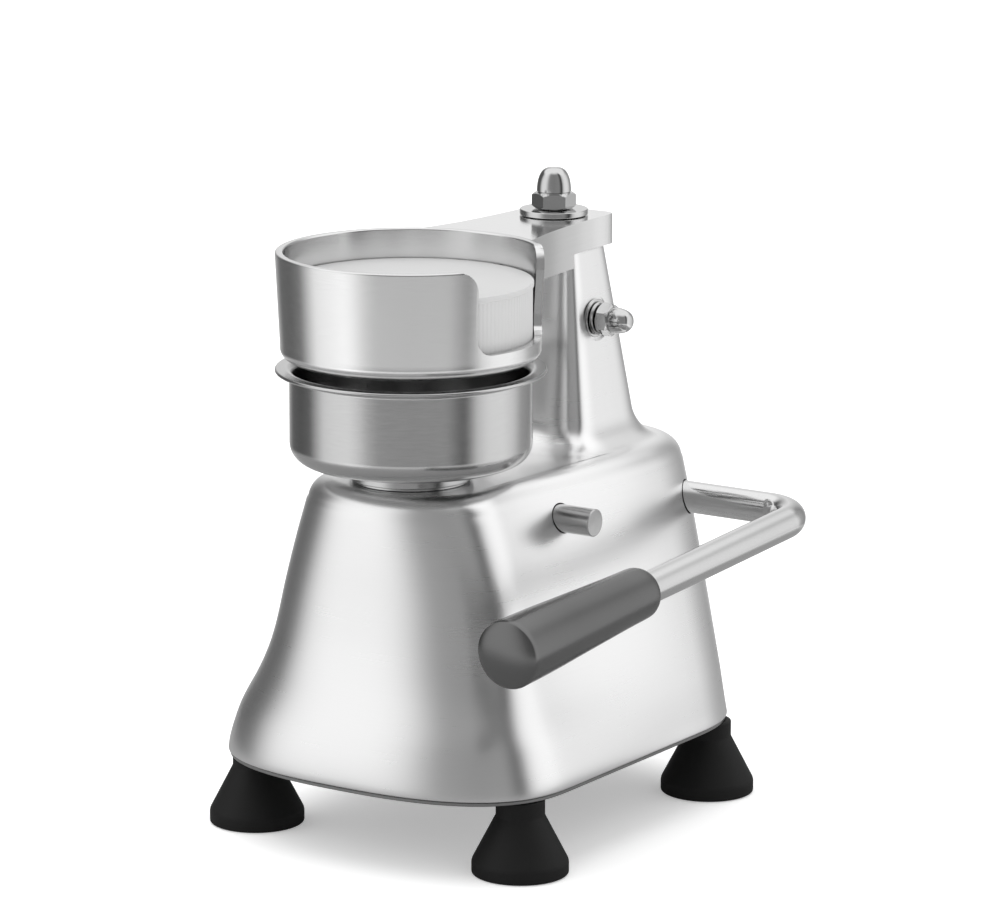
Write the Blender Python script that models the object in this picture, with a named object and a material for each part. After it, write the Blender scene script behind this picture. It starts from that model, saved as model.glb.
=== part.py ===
"""Patty press: a cast body on four feet, a bowl with a rising ejector plate worked by a side lever,
and a swinging upper cup that holds paper discs.

Lengths in the design values are millimetres, in a frame whose Z axis is the bowl's axis, with Z = 0 on
the table and the operator on the -Y side. An empty shifts everything so that the world's origin is the
middle of the bounding box's bottom.
"""

from math import cos, pi, radians, sin, tan

import bmesh
import bpy
from mathutils import Matrix, Vector

MM = 0.001
GAP = 0.3  # clearance between neighbouring solids

# Driving dimensions
BOWL_R = 52.0
BOWL_FLANGE_R = 58.1
BOWL_FLANGE_Z = 207.6
BOWL_FLOOR_Z = 166.6
BOWL_WALL = 2.0
BOWL_CORNER_R = 9.0
BUSH_FLANGE_R = 26.7
BUSH_NECK_R = 12.0
BUSH_BOTTOM_Z = 139.0
PLATFORM_Z = 158.5
BASE_Z = 35.0  # underside of the casting
BASE_HALF_WIDTH = 83.0
BASE_REAR_Y = 166.0
WALL = 5.5
PIVOT_Y = 111.0
POST_TOP_Z = 244.0
SPINDLE_R = 8.0
SPINDLE_THREAD_R = 5.0
ARM_TOP_Z = 257.7
CUP_RIM_Z = 257.9
CUP_RIM_R = 57.8
CUP_FLOOR_Z = 211.7
CUP_WALL = 3.5
CUP_BOTTOM_R = 55.8
FOOT_X = 69.1
FOOT_FRONT_Y = -19.1
FOOT_REAR_Y = 132.8
FOOT_R = 20.75
FOOT_RIM_Z = 5.0
FOOT_NECK_R = 10.5
FOOT_SCREW_R = 3.0
FOOT_SCREW_TOP_Z = 40.0
FOOT_SCREW_HEAD_R = 5.0
FOOT_SCREW_HEAD_Z = 2.5
FOOT_SCREW_HEAD_HEIGHT = 4.0

# Lift gear: a lever from the handle's shaft to the pin through the ram rod
SHAFT_Y = 134.0
SHAFT_Z = 133.0
SHAFT_R = 7.0
SHAFT_BUSH_R = 10.0
SHAFT_BUSH_X = 33.0
SHAFT_BUSH_LENGTH = 10.7
LEVER_LENGTH = 137.4
LEVER_REST_DEG = -17.5
LIFT_PIN_Z = SHAFT_Z + SHAFT_Y * tan(radians(LEVER_REST_DEG))
HANDLE_X = 117.0
HANDLE_BEND_R = 18.0
HANDLE_DROOP_DEG = 3.2
GRIP_LENGTH = 104.0
GRIP_R = 13.75
GRIP_REAR_R = 11.2
GRIP_FRONT_REACH = 239.0  # along the handle, from the shaft's axis to the grip's front end
ROD_R = 6.0
LIFT_PIN_R = 4.0
LIFT_PIN_REACH = 20.0
STOP_PIN_Y = 38.0
STOP_PIN_Z = 141.0
STOP_PIN_R = 6.0
STOP_PIN_START_X = -48.5
STOP_PIN_END_X = 69.3

# The bolt across the post, and the spot faces that it clamps
CROSS_BOLT_Z = 213.6
CROSS_BOLT_R = 4.0
SIDE_FACE_X = 21.2
SIDE_FACE_R = 10.0

# The bounding box: the left feet, the grip's right flank, the grip's front end, the body's back
DROOP = radians(HANDLE_DROOP_DEG)
GRIP_FRONT_Y = SHAFT_Y - GRIP_FRONT_REACH * cos(DROOP)
MID_X = (HANDLE_X + GRIP_R - FOOT_X - FOOT_R) / 2
MID_Y = (GRIP_FRONT_Y + BASE_REAR_Y) / 2

for old in list(bpy.data.objects):
    bpy.data.objects.remove(old)

press = bpy.data.collections.new("patty_press")
cutters = bpy.data.collections.new("cutters")
bpy.context.scene.collection.children.link(press)
bpy.context.scene.collection.children.link(cutters)
cutters.hide_render = True


# ---------------------------------------------------------------- helpers


def empty(name, place, parent=None):
    """An empty at a place given in millimetres relative to its parent."""
    obj = bpy.data.objects.new(name, None)
    obj.empty_display_size = 0.01
    obj.parent = parent
    obj.location = Vector(place) * MM
    press.objects.link(obj)
    return obj


def material(name, color, roughness, metallic):
    made = bpy.data.materials.new(name)
    made.use_nodes = True
    shader = made.node_tree.nodes["Principled BSDF"]
    shader.inputs["Base Color"].default_value = (*color, 1.0)
    shader.inputs["Roughness"].default_value = roughness
    shader.inputs["Metallic"].default_value = metallic
    return made


CAST = material("cast_aluminium", (0.74, 0.74, 0.73), 0.34, 1.0)
STAINLESS = material("brushed_stainless", (0.66, 0.65, 0.63), 0.28, 1.0)
BRIGHT = material("bright_steel", (0.72, 0.72, 0.71), 0.12, 1.0)
ROD = material("polished_rod", (0.75, 0.75, 0.74), 0.16, 1.0)
BRONZE = material("bronze", (0.55, 0.38, 0.20), 0.4, 1.0)
RUBBER = material("black_rubber", (0.02, 0.02, 0.02), 0.7, 0.0)
GRIP = material("black_plastic", (0.035, 0.035, 0.035), 0.25, 0.0)
PAPER = material("paper", (0.80, 0.80, 0.79), 0.8, 0.0)


def add(name, mesh, look, parent, place=(0, 0, 0), rotation=(0, 0, 0), cutter=False):
    """A mesh in metres, as an object placed in millimetres under its parent."""
    obj = bpy.data.objects.new(name, mesh)
    obj.parent = parent
    obj.location = Vector(place) * MM
    obj.rotation_euler = rotation
    if cutter:
        obj.display_type = "WIRE"
        obj.hide_render = True
        cutters.objects.link(obj)
    else:
        mesh.materials.append(look)
        mesh.shade_smooth()
        mesh.set_sharp_from_angle(angle=radians(32))
        press.objects.link(obj)
    return obj


def mesh_of(bm, name):
    mesh = bpy.data.meshes.new(name)
    bmesh.ops.recalc_face_normals(bm, faces=bm.faces)
    bmesh.ops.scale(bm, vec=(MM, MM, MM), verts=bm.verts)
    bm.to_mesh(mesh)
    bm.free()
    return mesh


def cylinder(name, radius, low, high, axis="Z", sides=40):
    """A solid round bar along an axis, from low to high."""
    bm = bmesh.new()
    bmesh.ops.create_cone(bm, cap_ends=True, segments=sides, radius1=radius, radius2=radius, depth=high - low)
    bmesh.ops.translate(bm, vec=(0, 0, (low + high) / 2), verts=bm.verts)
    turn = {"Z": Matrix(), "X": Matrix.Rotation(pi / 2, 4, "Y"), "Y": Matrix.Rotation(-pi / 2, 4, "X")}
    bmesh.ops.transform(bm, matrix=turn[axis], verts=bm.verts)
    return mesh_of(bm, name)


def box(name, low, high):
    bm = bmesh.new()
    bmesh.ops.create_cube(bm, size=1)
    size = Vector(high) - Vector(low)
    bmesh.ops.scale(bm, vec=size, verts=bm.verts)
    bmesh.ops.translate(bm, vec=(Vector(high) + Vector(low)) / 2, verts=bm.verts)
    return mesh_of(bm, name)


def hexagon(name, across_flats, low, high):
    return cylinder(name, across_flats / 2 / cos(pi / 6), low, high, sides=6)


def turned(name, profile, sides=64):
    """A closed profile of (radius, height) points turned about Z, as a mesh."""
    bm = bmesh.new()
    rings = []
    for radius, height in profile:
        if radius < 1e-6:
            rings.append([bm.verts.new((0, 0, height))])
            continue
        spots = [2 * pi * step / sides for step in range(sides)]
        rings.append([bm.verts.new((radius * cos(a), radius * sin(a), height)) for a in spots])
    closed_by_axis = len(rings[0]) == 1 and len(rings[-1]) == 1
    pairs = list(zip(rings, rings[1:]))
    if not closed_by_axis:
        pairs.append((rings[-1], rings[0]))
    for upper, lower in pairs:
        skin(bm, upper, lower)
    return mesh_of(bm, name)


def skin(bm, first, second):
    """Joins two rings of vertices, either of which may be a single point on the axis."""
    count = max(len(first), len(second))
    for step in range(count):
        after = (step + 1) % count
        corners = [first[step % len(first)], first[after % len(first)]]
        corners += [second[after % len(second)], second[step % len(second)]]
        kept = list(dict.fromkeys(corners))
        if len(kept) > 2:
            bm.faces.new(kept)


def arc(centre, radius, start_deg, end_deg, steps):
    """Points on an arc in the (radius, height) plane."""
    turns = [radians(start_deg + (end_deg - start_deg) * step / steps) for step in range(steps + 1)]
    return [(centre[0] + radius * cos(a), centre[1] + radius * sin(a)) for a in turns]


def boolean(target, tool, operation):
    step = target.modifiers.new(f"{operation.lower()}_{tool.name}", "BOOLEAN")
    step.operation = operation
    step.object = tool
    step.solver = "EXACT"


def cut(target, name, mesh, parent, place=(0, 0, 0), rotation=(0, 0, 0)):
    boolean(target, add(name, mesh, None, parent, place, rotation, cutter=True), "DIFFERENCE")


def join(target, name, mesh, parent, place=(0, 0, 0), rotation=(0, 0, 0)):
    boolean(target, add(name, mesh, None, parent, place, rotation, cutter=True), "UNION")


def tube(name, points, radius, look, parent, resolution=4):
    """A round bar along a path of points, made a mesh so that it can be cut."""
    curve = bpy.data.curves.new(name, "CURVE")
    curve.dimensions = "3D"
    curve.bevel_depth = radius * MM
    curve.bevel_resolution = resolution
    curve.use_fill_caps = True
    spline = curve.splines.new("POLY")
    spline.points.add(len(points) - 1)
    for target, point in zip(spline.points, points):
        target.co = (*(Vector(point) * MM), 1)
    guide = bpy.data.objects.new(name + "_path", curve)
    press.objects.link(guide)
    evaluated = guide.evaluated_get(bpy.context.evaluated_depsgraph_get())
    mesh = bpy.data.meshes.new_from_object(evaluated)
    bpy.data.objects.remove(guide)
    bm = bmesh.new()
    bm.from_mesh(mesh)
    bmesh.ops.remove_doubles(bm, verts=bm.verts, dist=1e-6)
    bmesh.ops.recalc_face_normals(bm, faces=bm.faces)
    bm.to_mesh(mesh)
    bm.free()
    return add(name, mesh, look, parent)


# ---------------------------------------------------------------- the body's plan


FRONT_STEPS = 12
SIDE_STEPS = 3
REAR_STEPS = 12
REAR_SPLIT_Y = 100.0


def half_oval(width, depth, power, steps, middle_y, forward):
    """The points of half a superellipse, from one flank round the nose to the other flank."""
    points = []
    for step in range(steps + 1):
        angle = pi * step / steps
        across = abs(cos(angle)) ** (2 / power) * (1 if cos(angle) > 0 else -1)
        along = abs(sin(angle)) ** (2 / power)
        side = 1 if forward else -1
        points.append((width * across * side, middle_y - side * depth * along))
    return points


def plan(front, rear, front_y=0.0, rear_y=REAR_SPLIT_Y):
    """One horizontal section. front and rear are (half width, depth, power) of the end ovals."""
    nose = half_oval(*front, FRONT_STEPS, front_y, True)
    tail = half_oval(*rear, REAR_STEPS, rear_y, False)
    flank = []
    for step in range(1, SIDE_STEPS):
        share = step / SIDE_STEPS
        eased = share * share * (3 - 2 * share)
        width = front[0] + (rear[0] - front[0]) * eased
        flank.append((width, front_y + (rear_y - front_y) * share))
    left = [(-x, y) for x, y in flank]
    return nose + left + tail + flank[::-1]


def shrunk(oval, by):
    return (oval[0] - by, oval[1] - by, oval[2])


# Height, then the front and the rear oval of the casting's outside. The foot of the bell flares forward.
BODY_SECTIONS = [
    (BASE_Z, (BASE_HALF_WIDTH, 56.0, 2.6), (BASE_HALF_WIDTH, BASE_REAR_Y - REAR_SPLIT_Y, 2.8)),
    (40.0, (82.3, 55.4, 2.6), (81.8, 66.0, 2.8)),
    (56.0, (77.2, 51.4, 2.6), (78.6, 65.6, 2.8)),
    (69.0, (70.7, 46.0, 2.54), (75.6, 65.4, 2.8)),
    (84.0, (64.9, 40.8, 2.46), (72.2, 65.0, 2.8)),
    (94.0, (62.3, 38.8, 2.42), (69.9, 64.7, 2.8)),
    (112.0, (58.2, 36.8, 2.38), (65.8, 64.0, 2.8)),
    (132.0, (52.6, 35.6, 2.32), (61.0, 63.0, 2.8)),
    (148.5, (47.2, 34.9, 2.28), (56.6, 62.2, 2.8)),
]
SHOULDER_R = 10.0
TOP_FRONT = (46.5, 34.6, 2.26)
TOP_REAR = (56.0, 62.0, 2.8)

# The post: half width, reach forward and reach back of the pivot's axis, at its top
POST_HALF_WIDTH = 18.0
POST_FRONT = 14.0
POST_BACK = 17.5
POST_DRAFT = tan(radians(8.5))
POST_FILLET = (12.0, 14.0, 6.0)  # how far the fillet at its foot spreads sideways, forward and back
POST_CORE_TOP_Z = 203.0


def post_ring(height, spread=0.0, inset=0.0):
    """The post's section, spread at its foot by a share of the fillet or drawn in by a wall."""
    grow = (POST_TOP_Z - height) * POST_DRAFT - inset
    half_width = POST_HALF_WIDTH + grow + spread * POST_FILLET[0]
    ahead = POST_FRONT + grow + spread * POST_FILLET[1]
    behind = POST_BACK + grow + spread * POST_FILLET[2]
    power = 5.0 - 1.6 * spread
    ring = plan((half_width, ahead - 3, power), (half_width, behind - 3, power), PIVOT_Y - 3, PIVOT_Y + 3)
    return [(x, y, height) for x, y in ring]


def loft(name, rings):
    bm = bmesh.new()
    rows = [[bm.verts.new(point) for point in ring] for ring in rings]
    for lower, upper in zip(rows, rows[1:]):
        skin(bm, lower, upper)
    bm.faces.new(rows[0])
    bm.faces.new(rows[-1])
    return mesh_of(bm, name)


def at(height, ring):
    return [(x, y, height) for x, y in ring]


def body_outside():
    rings = [at(z, plan(front, rear)) for z, front, rear in BODY_SECTIONS]
    for step in range(1, 4):
        angle = pi / 2 * step / 3
        inward = SHOULDER_R * (1 - cos(angle))
        height = PLATFORM_Z - SHOULDER_R * (1 - sin(angle))
        rings.append(at(height, plan(shrunk(TOP_FRONT, inward), shrunk(TOP_REAR, inward))))
    fillet_height = 12.0
    for step in range(4):
        angle = pi / 2 * step / 3
        height = PLATFORM_Z + fillet_height * (1 - cos(angle))
        rings.append(post_ring(height, spread=1 - sin(angle)))
    rings.append(post_ring(POST_TOP_Z - 1.2))
    rings.append(post_ring(POST_TOP_Z, inset=1.2))
    return loft("body_outside", rings)


def body_inside():
    """The core: the inside of the bell, and a narrower one up into the post."""
    ceiling = PLATFORM_Z - 7.0
    rings = [at(BASE_Z - 5, plan(*[shrunk(oval, WALL) for oval in BODY_SECTIONS[0][1:]]))]
    rings += [
        at(z, plan(shrunk(front, WALL), shrunk(rear, WALL)))
        for z, front, rear in BODY_SECTIONS[2::2]
    ]
    rings.append(at(ceiling, plan(shrunk(TOP_FRONT, WALL + 4), shrunk(TOP_REAR, WALL + 4))))
    rings.append(post_ring(ceiling, inset=6.0))
    rings.append(post_ring(POST_CORE_TOP_Z, inset=6.0))
    return loft("body_inside", rings)


# ---------------------------------------------------------------- body, base and feet


origin = empty("press_frame", (-MID_X, -MID_Y, 0))


def make_body():
    """The casting: a cored shell with bosses for the shaft's bushes and the feet, then its bores."""
    body = add("body_casting", body_outside(), CAST, origin)
    cut(body, "core", body_inside(), origin)
    at_shaft = (0, SHAFT_Y, SHAFT_Z)
    at_bolt = (0, PIVOT_Y, CROSS_BOLT_Z)
    for side in (-1, 1):
        facing = (0, 0, pi if side < 0 else 0)
        boss = cylinder("boss", SHAFT_BUSH_R + 3, SHAFT_BUSH_X, SHAFT_BUSH_X + 13, "X", 28)
        join(body, f"shaft_boss_{side}", boss, origin, at_shaft, facing)
        for y in (FOOT_FRONT_Y, FOOT_REAR_Y):
            make_foot_boss(body, f"{side}_{y:.0f}", (side * FOOT_X, y, 0))
        face = cylinder("face", SIDE_FACE_R, SIDE_FACE_X, POST_HALF_WIDTH * 3, "X", 32)
        cut(body, f"side_face_{side}", face, origin, at_bolt, facing)
        pocket_end = SHAFT_BUSH_X + SHAFT_BUSH_LENGTH + GAP
        pocket = cylinder("pocket", SHAFT_BUSH_R + GAP, SHAFT_BUSH_X - 5, pocket_end, "X", 28)
        cut(body, f"bush_pocket_{side}", pocket, origin, at_shaft, facing)
    shaft_bore = cylinder("bore", SHAFT_R + 0.5, 20, BASE_HALF_WIDTH, "X", 30)
    cut(body, "shaft_bore", shaft_bore, origin, at_shaft)
    pin_bore = cylinder("bore", STOP_PIN_R + GAP, STOP_PIN_START_X - 0.5, BASE_HALF_WIDTH, "X")
    cut(body, "stop_pin_bore", pin_bore, origin, (0, STOP_PIN_Y, STOP_PIN_Z))
    cut(body, "guide_bore", cylinder("bore", BUSH_NECK_R + GAP, BUSH_BOTTOM_Z, PLATFORM_Z + 20), origin)
    spindle_bore = cylinder("bore", SPINDLE_R + GAP, 190, POST_TOP_Z + 10)
    cut(body, "spindle_bore", spindle_bore, origin, (0, PIVOT_Y, 0))
    bolt_bore = cylinder("bore", CROSS_BOLT_R + GAP, -BASE_HALF_WIDTH, BASE_HALF_WIDTH, "X", 24)
    cut(body, "cross_bolt_bore", bolt_bore, origin, at_bolt)


def make_foot_boss(body, name, spot):
    """A tapped boss in a corner of the shell, for a foot's screw."""
    boss = cylinder("boss", 6.2, BASE_Z + 0.5, FOOT_SCREW_TOP_Z + 3, sides=16)
    join(body, f"foot_boss_{name}", boss, origin, spot)
    hole = cylinder("hole", FOOT_SCREW_R + GAP, BASE_Z - 2, FOOT_SCREW_TOP_Z + 1, sides=14)
    cut(body, f"foot_hole_{name}", hole, origin, spot)


def make_base():
    thickness = 1.5
    top = BASE_Z - GAP
    front, rear = BODY_SECTIONS[0][1:]
    rings = [at(z, plan(front, rear)) for z in (top - thickness, top)]
    plate = add("base_plate", loft("base_plate", rings), STAINLESS, origin)
    for side in (-1, 1):
        for place, y in (("front", FOOT_FRONT_Y), ("rear", FOOT_REAR_Y)):
            name = f"{place}_{'left' if side < 0 else 'right'}"
            spot = (side * FOOT_X, y, 0)
            hole = cylinder("hole", FOOT_SCREW_R + GAP, top - 5, top + 5, sides=24)
            cut(plate, f"plate_hole_{name}", hole, origin, spot)
            make_foot(name, spot, top - thickness - GAP)


def make_foot(name, spot, top):
    """A rubber cone with a screw up its middle, whose head sits in a counterbore just off the table."""
    bore = FOOT_SCREW_R + GAP
    counterbore = FOOT_SCREW_HEAD_R + GAP
    recess_top = FOOT_SCREW_HEAD_Z + FOOT_SCREW_HEAD_HEIGHT + GAP
    neck_z = 25.5
    outline = [
        (bore, top),
        (FOOT_NECK_R - 0.9, top),
        (FOOT_NECK_R, top - 0.9),
        (FOOT_NECK_R, neck_z),
        (FOOT_R - 0.4, FOOT_RIM_Z + 1),
        (FOOT_R, FOOT_RIM_Z),
        (FOOT_R, 0.8),
        (FOOT_R - 0.8, 0),
        (counterbore, 0),
        (counterbore, recess_top),
        (bore, recess_top),
    ]
    add(f"foot_{name}", turned("foot", outline, 18), RUBBER, origin, spot)
    head_top = FOOT_SCREW_HEAD_Z + FOOT_SCREW_HEAD_HEIGHT
    screw = [
        (0, FOOT_SCREW_TOP_Z),
        (FOOT_SCREW_R, FOOT_SCREW_TOP_Z),
        (FOOT_SCREW_R, head_top),
        (FOOT_SCREW_HEAD_R, head_top),
        (FOOT_SCREW_HEAD_R, FOOT_SCREW_HEAD_Z + 0.5),
        (FOOT_SCREW_HEAD_R - 0.5, FOOT_SCREW_HEAD_Z),
        (0, FOOT_SCREW_HEAD_Z),
    ]
    add(f"foot_screw_{name}", turned("foot_screw", screw, 16), BRIGHT, origin, spot)


# ---------------------------------------------------------------- bowl, bush and ram


def bowl_profile():
    """The spun bowl: a flanged rim, a straight wall and a rounded floor with a hole for the rod."""
    corner = BOWL_CORNER_R
    lip = 2.2
    inside = BOWL_R - BOWL_WALL
    floor = BOWL_FLOOR_Z
    top = BOWL_FLANGE_Z
    outer = [(BOWL_FLANGE_R, top), (BOWL_FLANGE_R, top - 1.6)]
    outer += arc((BOWL_R + lip, top - 1.6 - lip), lip, 90, 180, 3)
    outer += arc((BOWL_R - corner, floor + corner), corner, 0, -90, 4)
    hole = ROD_R + 0.5
    inner_corner = corner - BOWL_WALL
    inner = [(hole, floor), (hole, floor + BOWL_WALL)]
    inner += arc((inside - inner_corner, floor + BOWL_WALL + inner_corner), inner_corner, -90, 0, 3)
    inner += arc((inside + lip + 1.6, top - lip - 1.6), lip + 1.6, 180, 90, 3)
    return outer + inner


BOWL_SCREW_CIRCLE_R = 19.0


def make_bowl():
    """The bowl, the turned bush that it stands on, the nut under the platform and the three screws."""
    bowl = add("bowl", turned("bowl", bowl_profile(), 36), STAINLESS, origin)
    relief_z = PLATFORM_Z + GAP + 1.0
    relief_r = BUSH_FLANGE_R - 1.5
    flange_top = BOWL_FLOOR_Z - GAP
    bore = ROD_R + 0.1
    bush_outline = [
        (bore, flange_top),
        (BUSH_FLANGE_R - 1, flange_top),
        (BUSH_FLANGE_R, flange_top - 1),
        (BUSH_FLANGE_R, relief_z),
        (relief_r, relief_z),
        (relief_r, PLATFORM_Z + GAP),
        (BUSH_NECK_R, PLATFORM_Z + GAP),
        (BUSH_NECK_R, BUSH_BOTTOM_Z),
        (bore, BUSH_BOTTOM_Z),
    ]
    bush = add("guide_bush", turned("guide_bush", bush_outline, 24), STAINLESS, origin)
    nut_top = PLATFORM_Z - 7.5
    nut_bottom = nut_top - 6
    nut_bore = BUSH_NECK_R + GAP
    nut = [(nut_bore, nut_top), (18, nut_top), (18, nut_bottom), (nut_bore, nut_bottom)]
    add("bush_nut", turned("bush_nut", nut, 32), BRIGHT, origin)
    for index in range(3):
        angle = radians(30 + 120 * index)
        spot = (BOWL_SCREW_CIRCLE_R * cos(angle), BOWL_SCREW_CIRCLE_R * sin(angle), 0)
        make_bowl_screw(index + 1, bowl, bush, spot)


def make_bowl_screw(number, bowl, bush, spot):
    """A countersunk M4 screw from the bowl's floor into the bush's flange."""
    floor = BOWL_FLOOR_Z + BOWL_WALL
    shank = 2.0
    end = floor - 6.6
    sink = [(0, floor + 1), (4.3, floor + 1), (4.3, floor), (2.3, floor - 2), (2.3, end - 2), (0, end - 2)]
    cut(bowl, f"bowl_sink_{number}", turned("sink", sink, 24), origin, spot)
    cut(bush, f"bush_tap_{number}", cylinder("tap", shank + GAP, end - 1, floor + 6, sides=24), origin, spot)
    screw = [(0, floor - 0.1), (3.9, floor - 0.1), (shank, floor - 2), (shank, end), (0, end)]
    add(f"bowl_screw_{number}", turned("bowl_screw", screw, 24), BRIGHT, origin, spot)


def make_ram():
    """The ejector plate on its rod, and the pin through the rod that the lift lever's fork raises."""
    ram = empty("ram_slide", (0, 0, 0), origin)
    floor = BOWL_FLOOR_Z + BOWL_WALL
    corner = BOWL_CORNER_R - BOWL_WALL
    flank = arc((BOWL_R - BOWL_CORNER_R, floor + corner), corner - 0.6, -90, 0, 5)
    bottom = flank[0][1]
    plate_r = flank[-1][0]
    top = floor + corner + 0.6
    screw_r = 3.0
    sink_depth = 2.4
    bore = screw_r + GAP
    outline = [(bore, bottom), (bore, top - sink_depth), (6.3, top), (plate_r - 0.5, top)]
    plate = turned("ejector_plate", outline + flank[::-1], 32)
    add("ejector_plate", plate, STAINLESS, ram)
    rod_top = bottom - GAP
    screw_end = rod_top - 12
    screw = [(0, top - 0.1), (5.9, top - 0.1), (screw_r, top - 2.3), (screw_r, screw_end), (0, screw_end)]
    add("ejector_screw", turned("ejector_screw", screw, 28), BRIGHT, ram)
    rod_bottom = LIFT_PIN_Z - 12
    rod_outline = [
        (0, screw_end - 1),
        (bore, screw_end - 1),
        (bore, rod_top),
        (ROD_R - 0.4, rod_top),
        (ROD_R, rod_top - 0.4),
        (ROD_R, rod_bottom + 1),
        (ROD_R - 1, rod_bottom),
        (0, rod_bottom),
    ]
    rod = add("ram_rod", turned("ram_rod", rod_outline, 24), BRIGHT, ram)
    pin_hole = cylinder("hole", LIFT_PIN_R + GAP, -LIFT_PIN_REACH, LIFT_PIN_REACH, "X", 24)
    cut(rod, "lift_pin_hole", pin_hole, ram, (0, 0, LIFT_PIN_Z))
    make_lift_pin(ram)


def make_lift_pin(ram):
    """The cross pin, with a snap ring in a groove near each end."""
    shape = cylinder("lift_pin", LIFT_PIN_R, -LIFT_PIN_REACH, LIFT_PIN_REACH, "X", 16)
    pin = add("lift_pin", shape, BRIGHT, ram, (0, 0, LIFT_PIN_Z))
    groove_r = LIFT_PIN_R - 1
    groove = [(groove_r, 0.8), (9, 0.8), (9, -0.8), (groove_r, -0.8)]
    ring_inner = groove_r + GAP
    ring = [(ring_inner, 0.5), (7, 0.5), (7, -0.5), (ring_inner, -0.5)]
    for side, name in ((-1, "left"), (1, "right")):
        spot = (side * (LIFT_PIN_REACH - 2.5), 0, LIFT_PIN_Z)
        lean = (0, pi / 2, 0)
        cut(pin, f"clip_groove_{name}", turned("groove", groove, 16), ram, spot, lean)
        clip = add(f"lift_pin_clip_{name}", turned("clip", ring, 16), BRIGHT, ram, spot, lean)
        cut(clip, f"clip_mouth_{name}", box("mouth", (-2, -2.2, -10), (2, 2.2, 0)), ram, spot)


# ---------------------------------------------------------------- handle and lift lever


def make_handle():
    """The rod turns about its own rear leg. Its empty lies on that axis."""
    lift = empty("handle_lift", (0, SHAFT_Y, SHAFT_Z), origin)
    forward = Vector((0, -cos(DROOP), -sin(DROOP)))
    corner = Vector((HANDLE_X, 0, 0))
    across = Vector((HANDLE_BEND_R, 0, 0))
    along = forward * HANDLE_BEND_R
    path = [Vector((-SHAFT_BUSH_X - SHAFT_BUSH_LENGTH + 0.2, 0, 0)), Vector((SHAFT_BUSH_X + 3, 0, 0))]
    bend_steps = 8
    for step in range(bend_steps + 1):
        angle = pi / 2 * step / bend_steps
        path.append(corner - across + along + across * sin(angle) - along * cos(angle))
    socket_depth = 78.5
    path.append(corner + forward * (GRIP_FRONT_REACH - GRIP_LENGTH + socket_depth - 0.5))
    tube("handle_rod", path, SHAFT_R, ROD, lift, 6)
    start = corner + forward * (GRIP_FRONT_REACH - GRIP_LENGTH)
    outline = grip_profile(socket_depth)
    add("handle_grip", turned("handle_grip", outline, 24), GRIP, lift, start, (pi / 2 + DROOP, 0, 0))
    make_lift_lever(lift)


def grip_profile(socket_depth):
    """The grip's outline from its domed front end back: it swells to the front, with a blind socket."""
    length = GRIP_LENGTH
    crown = 2.5
    socket_r = SHAFT_R + GAP
    dome = [(GRIP_R * 0.86 * cos(turn), length - crown + crown * sin(turn)) for turn in (1.1, 0.7, 0.35)]
    front = [(GRIP_R - 0.5, length - crown - 0.4), (GRIP_R, length - crown - 1.6)]
    flank = [(GRIP_R - 0.1, length * 0.75), (GRIP_R - 0.5, length * 0.5), (GRIP_R - 1.3, length * 0.22)]
    rear = [(GRIP_REAR_R + 0.9, 4), (GRIP_REAR_R, 1.6), (GRIP_REAR_R - 1.6, 0)]
    socket = [(socket_r, 0), (socket_r, socket_depth), (0, socket_depth)]
    return [(0, length)] + dome + front + flank + rear + socket


def make_lift_lever(lift):
    """A hub clamped on the shaft, a bar, and a fork whose slots take the pin through the ram rod."""
    lean = (-radians(LEVER_REST_DEG), 0, 0)  # the lever's own -Y points down its length
    half_width = 14.0
    end = -LEVER_LENGTH
    here = (0, 0, 0)
    hub = cylinder("lift_lever", SHAFT_R + 8, -half_width, half_width, "X")
    lever = add("lift_lever", hub, CAST, lift, here, lean)
    bar = box("bar", (-half_width, end + 22, -6), (half_width, -8, 6))
    join(lever, "lever_bar", bar, lift, here, lean)
    fork = box("fork", (-half_width - 1, end - 13, -7.5), (half_width + 1, end + 30, 7.5))
    join(lever, "lever_fork", fork, lift, here, lean)
    gap = box("gap", (-ROD_R - 2, end - 20, -20), (ROD_R + 2, end + 16, 20))
    cut(lever, "fork_gap", gap, lift, here, lean)
    window = box("window", (-7, end + 34, -20), (7, -34, 20))
    cut(lever, "bar_window", window, lift, here, lean)
    slot_reach = 8.8
    slot_half = LIFT_PIN_R + 0.7
    slot = box("slot", (-30, end - slot_reach, -slot_half), (30, end + slot_reach, slot_half))
    cut(lever, "pin_slot", slot, lift, here, lean)
    cut(lever, "hub_bore", cylinder("bore", SHAFT_R + GAP, -40, 40, "X"), lift, here, lean)
    screw_r = 3.0
    cut(lever, "screw_bore", cylinder("bore", screw_r + GAP, 4, 40, "Z", 20), lift, here, lean)
    grub = cylinder("set_screw", screw_r, SHAFT_R + GAP, SHAFT_R + 8.5, "Z", 20)
    screw = add("lever_set_screw", grub, BRIGHT, lift, here, lean)
    cut(screw, "socket", cylinder("socket", 1.7, 12, 20, "Z", 6), lift, here, lean)


def make_shaft_bushes():
    bore = SHAFT_R + 0.1
    end = SHAFT_BUSH_X + SHAFT_BUSH_LENGTH
    outline = [(bore, end), (SHAFT_BUSH_R, end), (SHAFT_BUSH_R, SHAFT_BUSH_X), (bore, SHAFT_BUSH_X)]
    for side, name in ((-1, "left"), (1, "right")):
        bush = turned("shaft_bush", outline, 32)
        lean = (0, side * pi / 2, 0)
        add(f"shaft_bush_{name}", bush, BRONZE, origin, (0, SHAFT_Y, SHAFT_Z), lean)


def make_stop_pin():
    pin = cylinder("stop_pin", STOP_PIN_R, STOP_PIN_START_X, STOP_PIN_END_X, "X", 40)
    add("stop_pin", pin, BRIGHT, origin, (0, STOP_PIN_Y, STOP_PIN_Z))


# ---------------------------------------------------------------- post head, arm and cup


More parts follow.
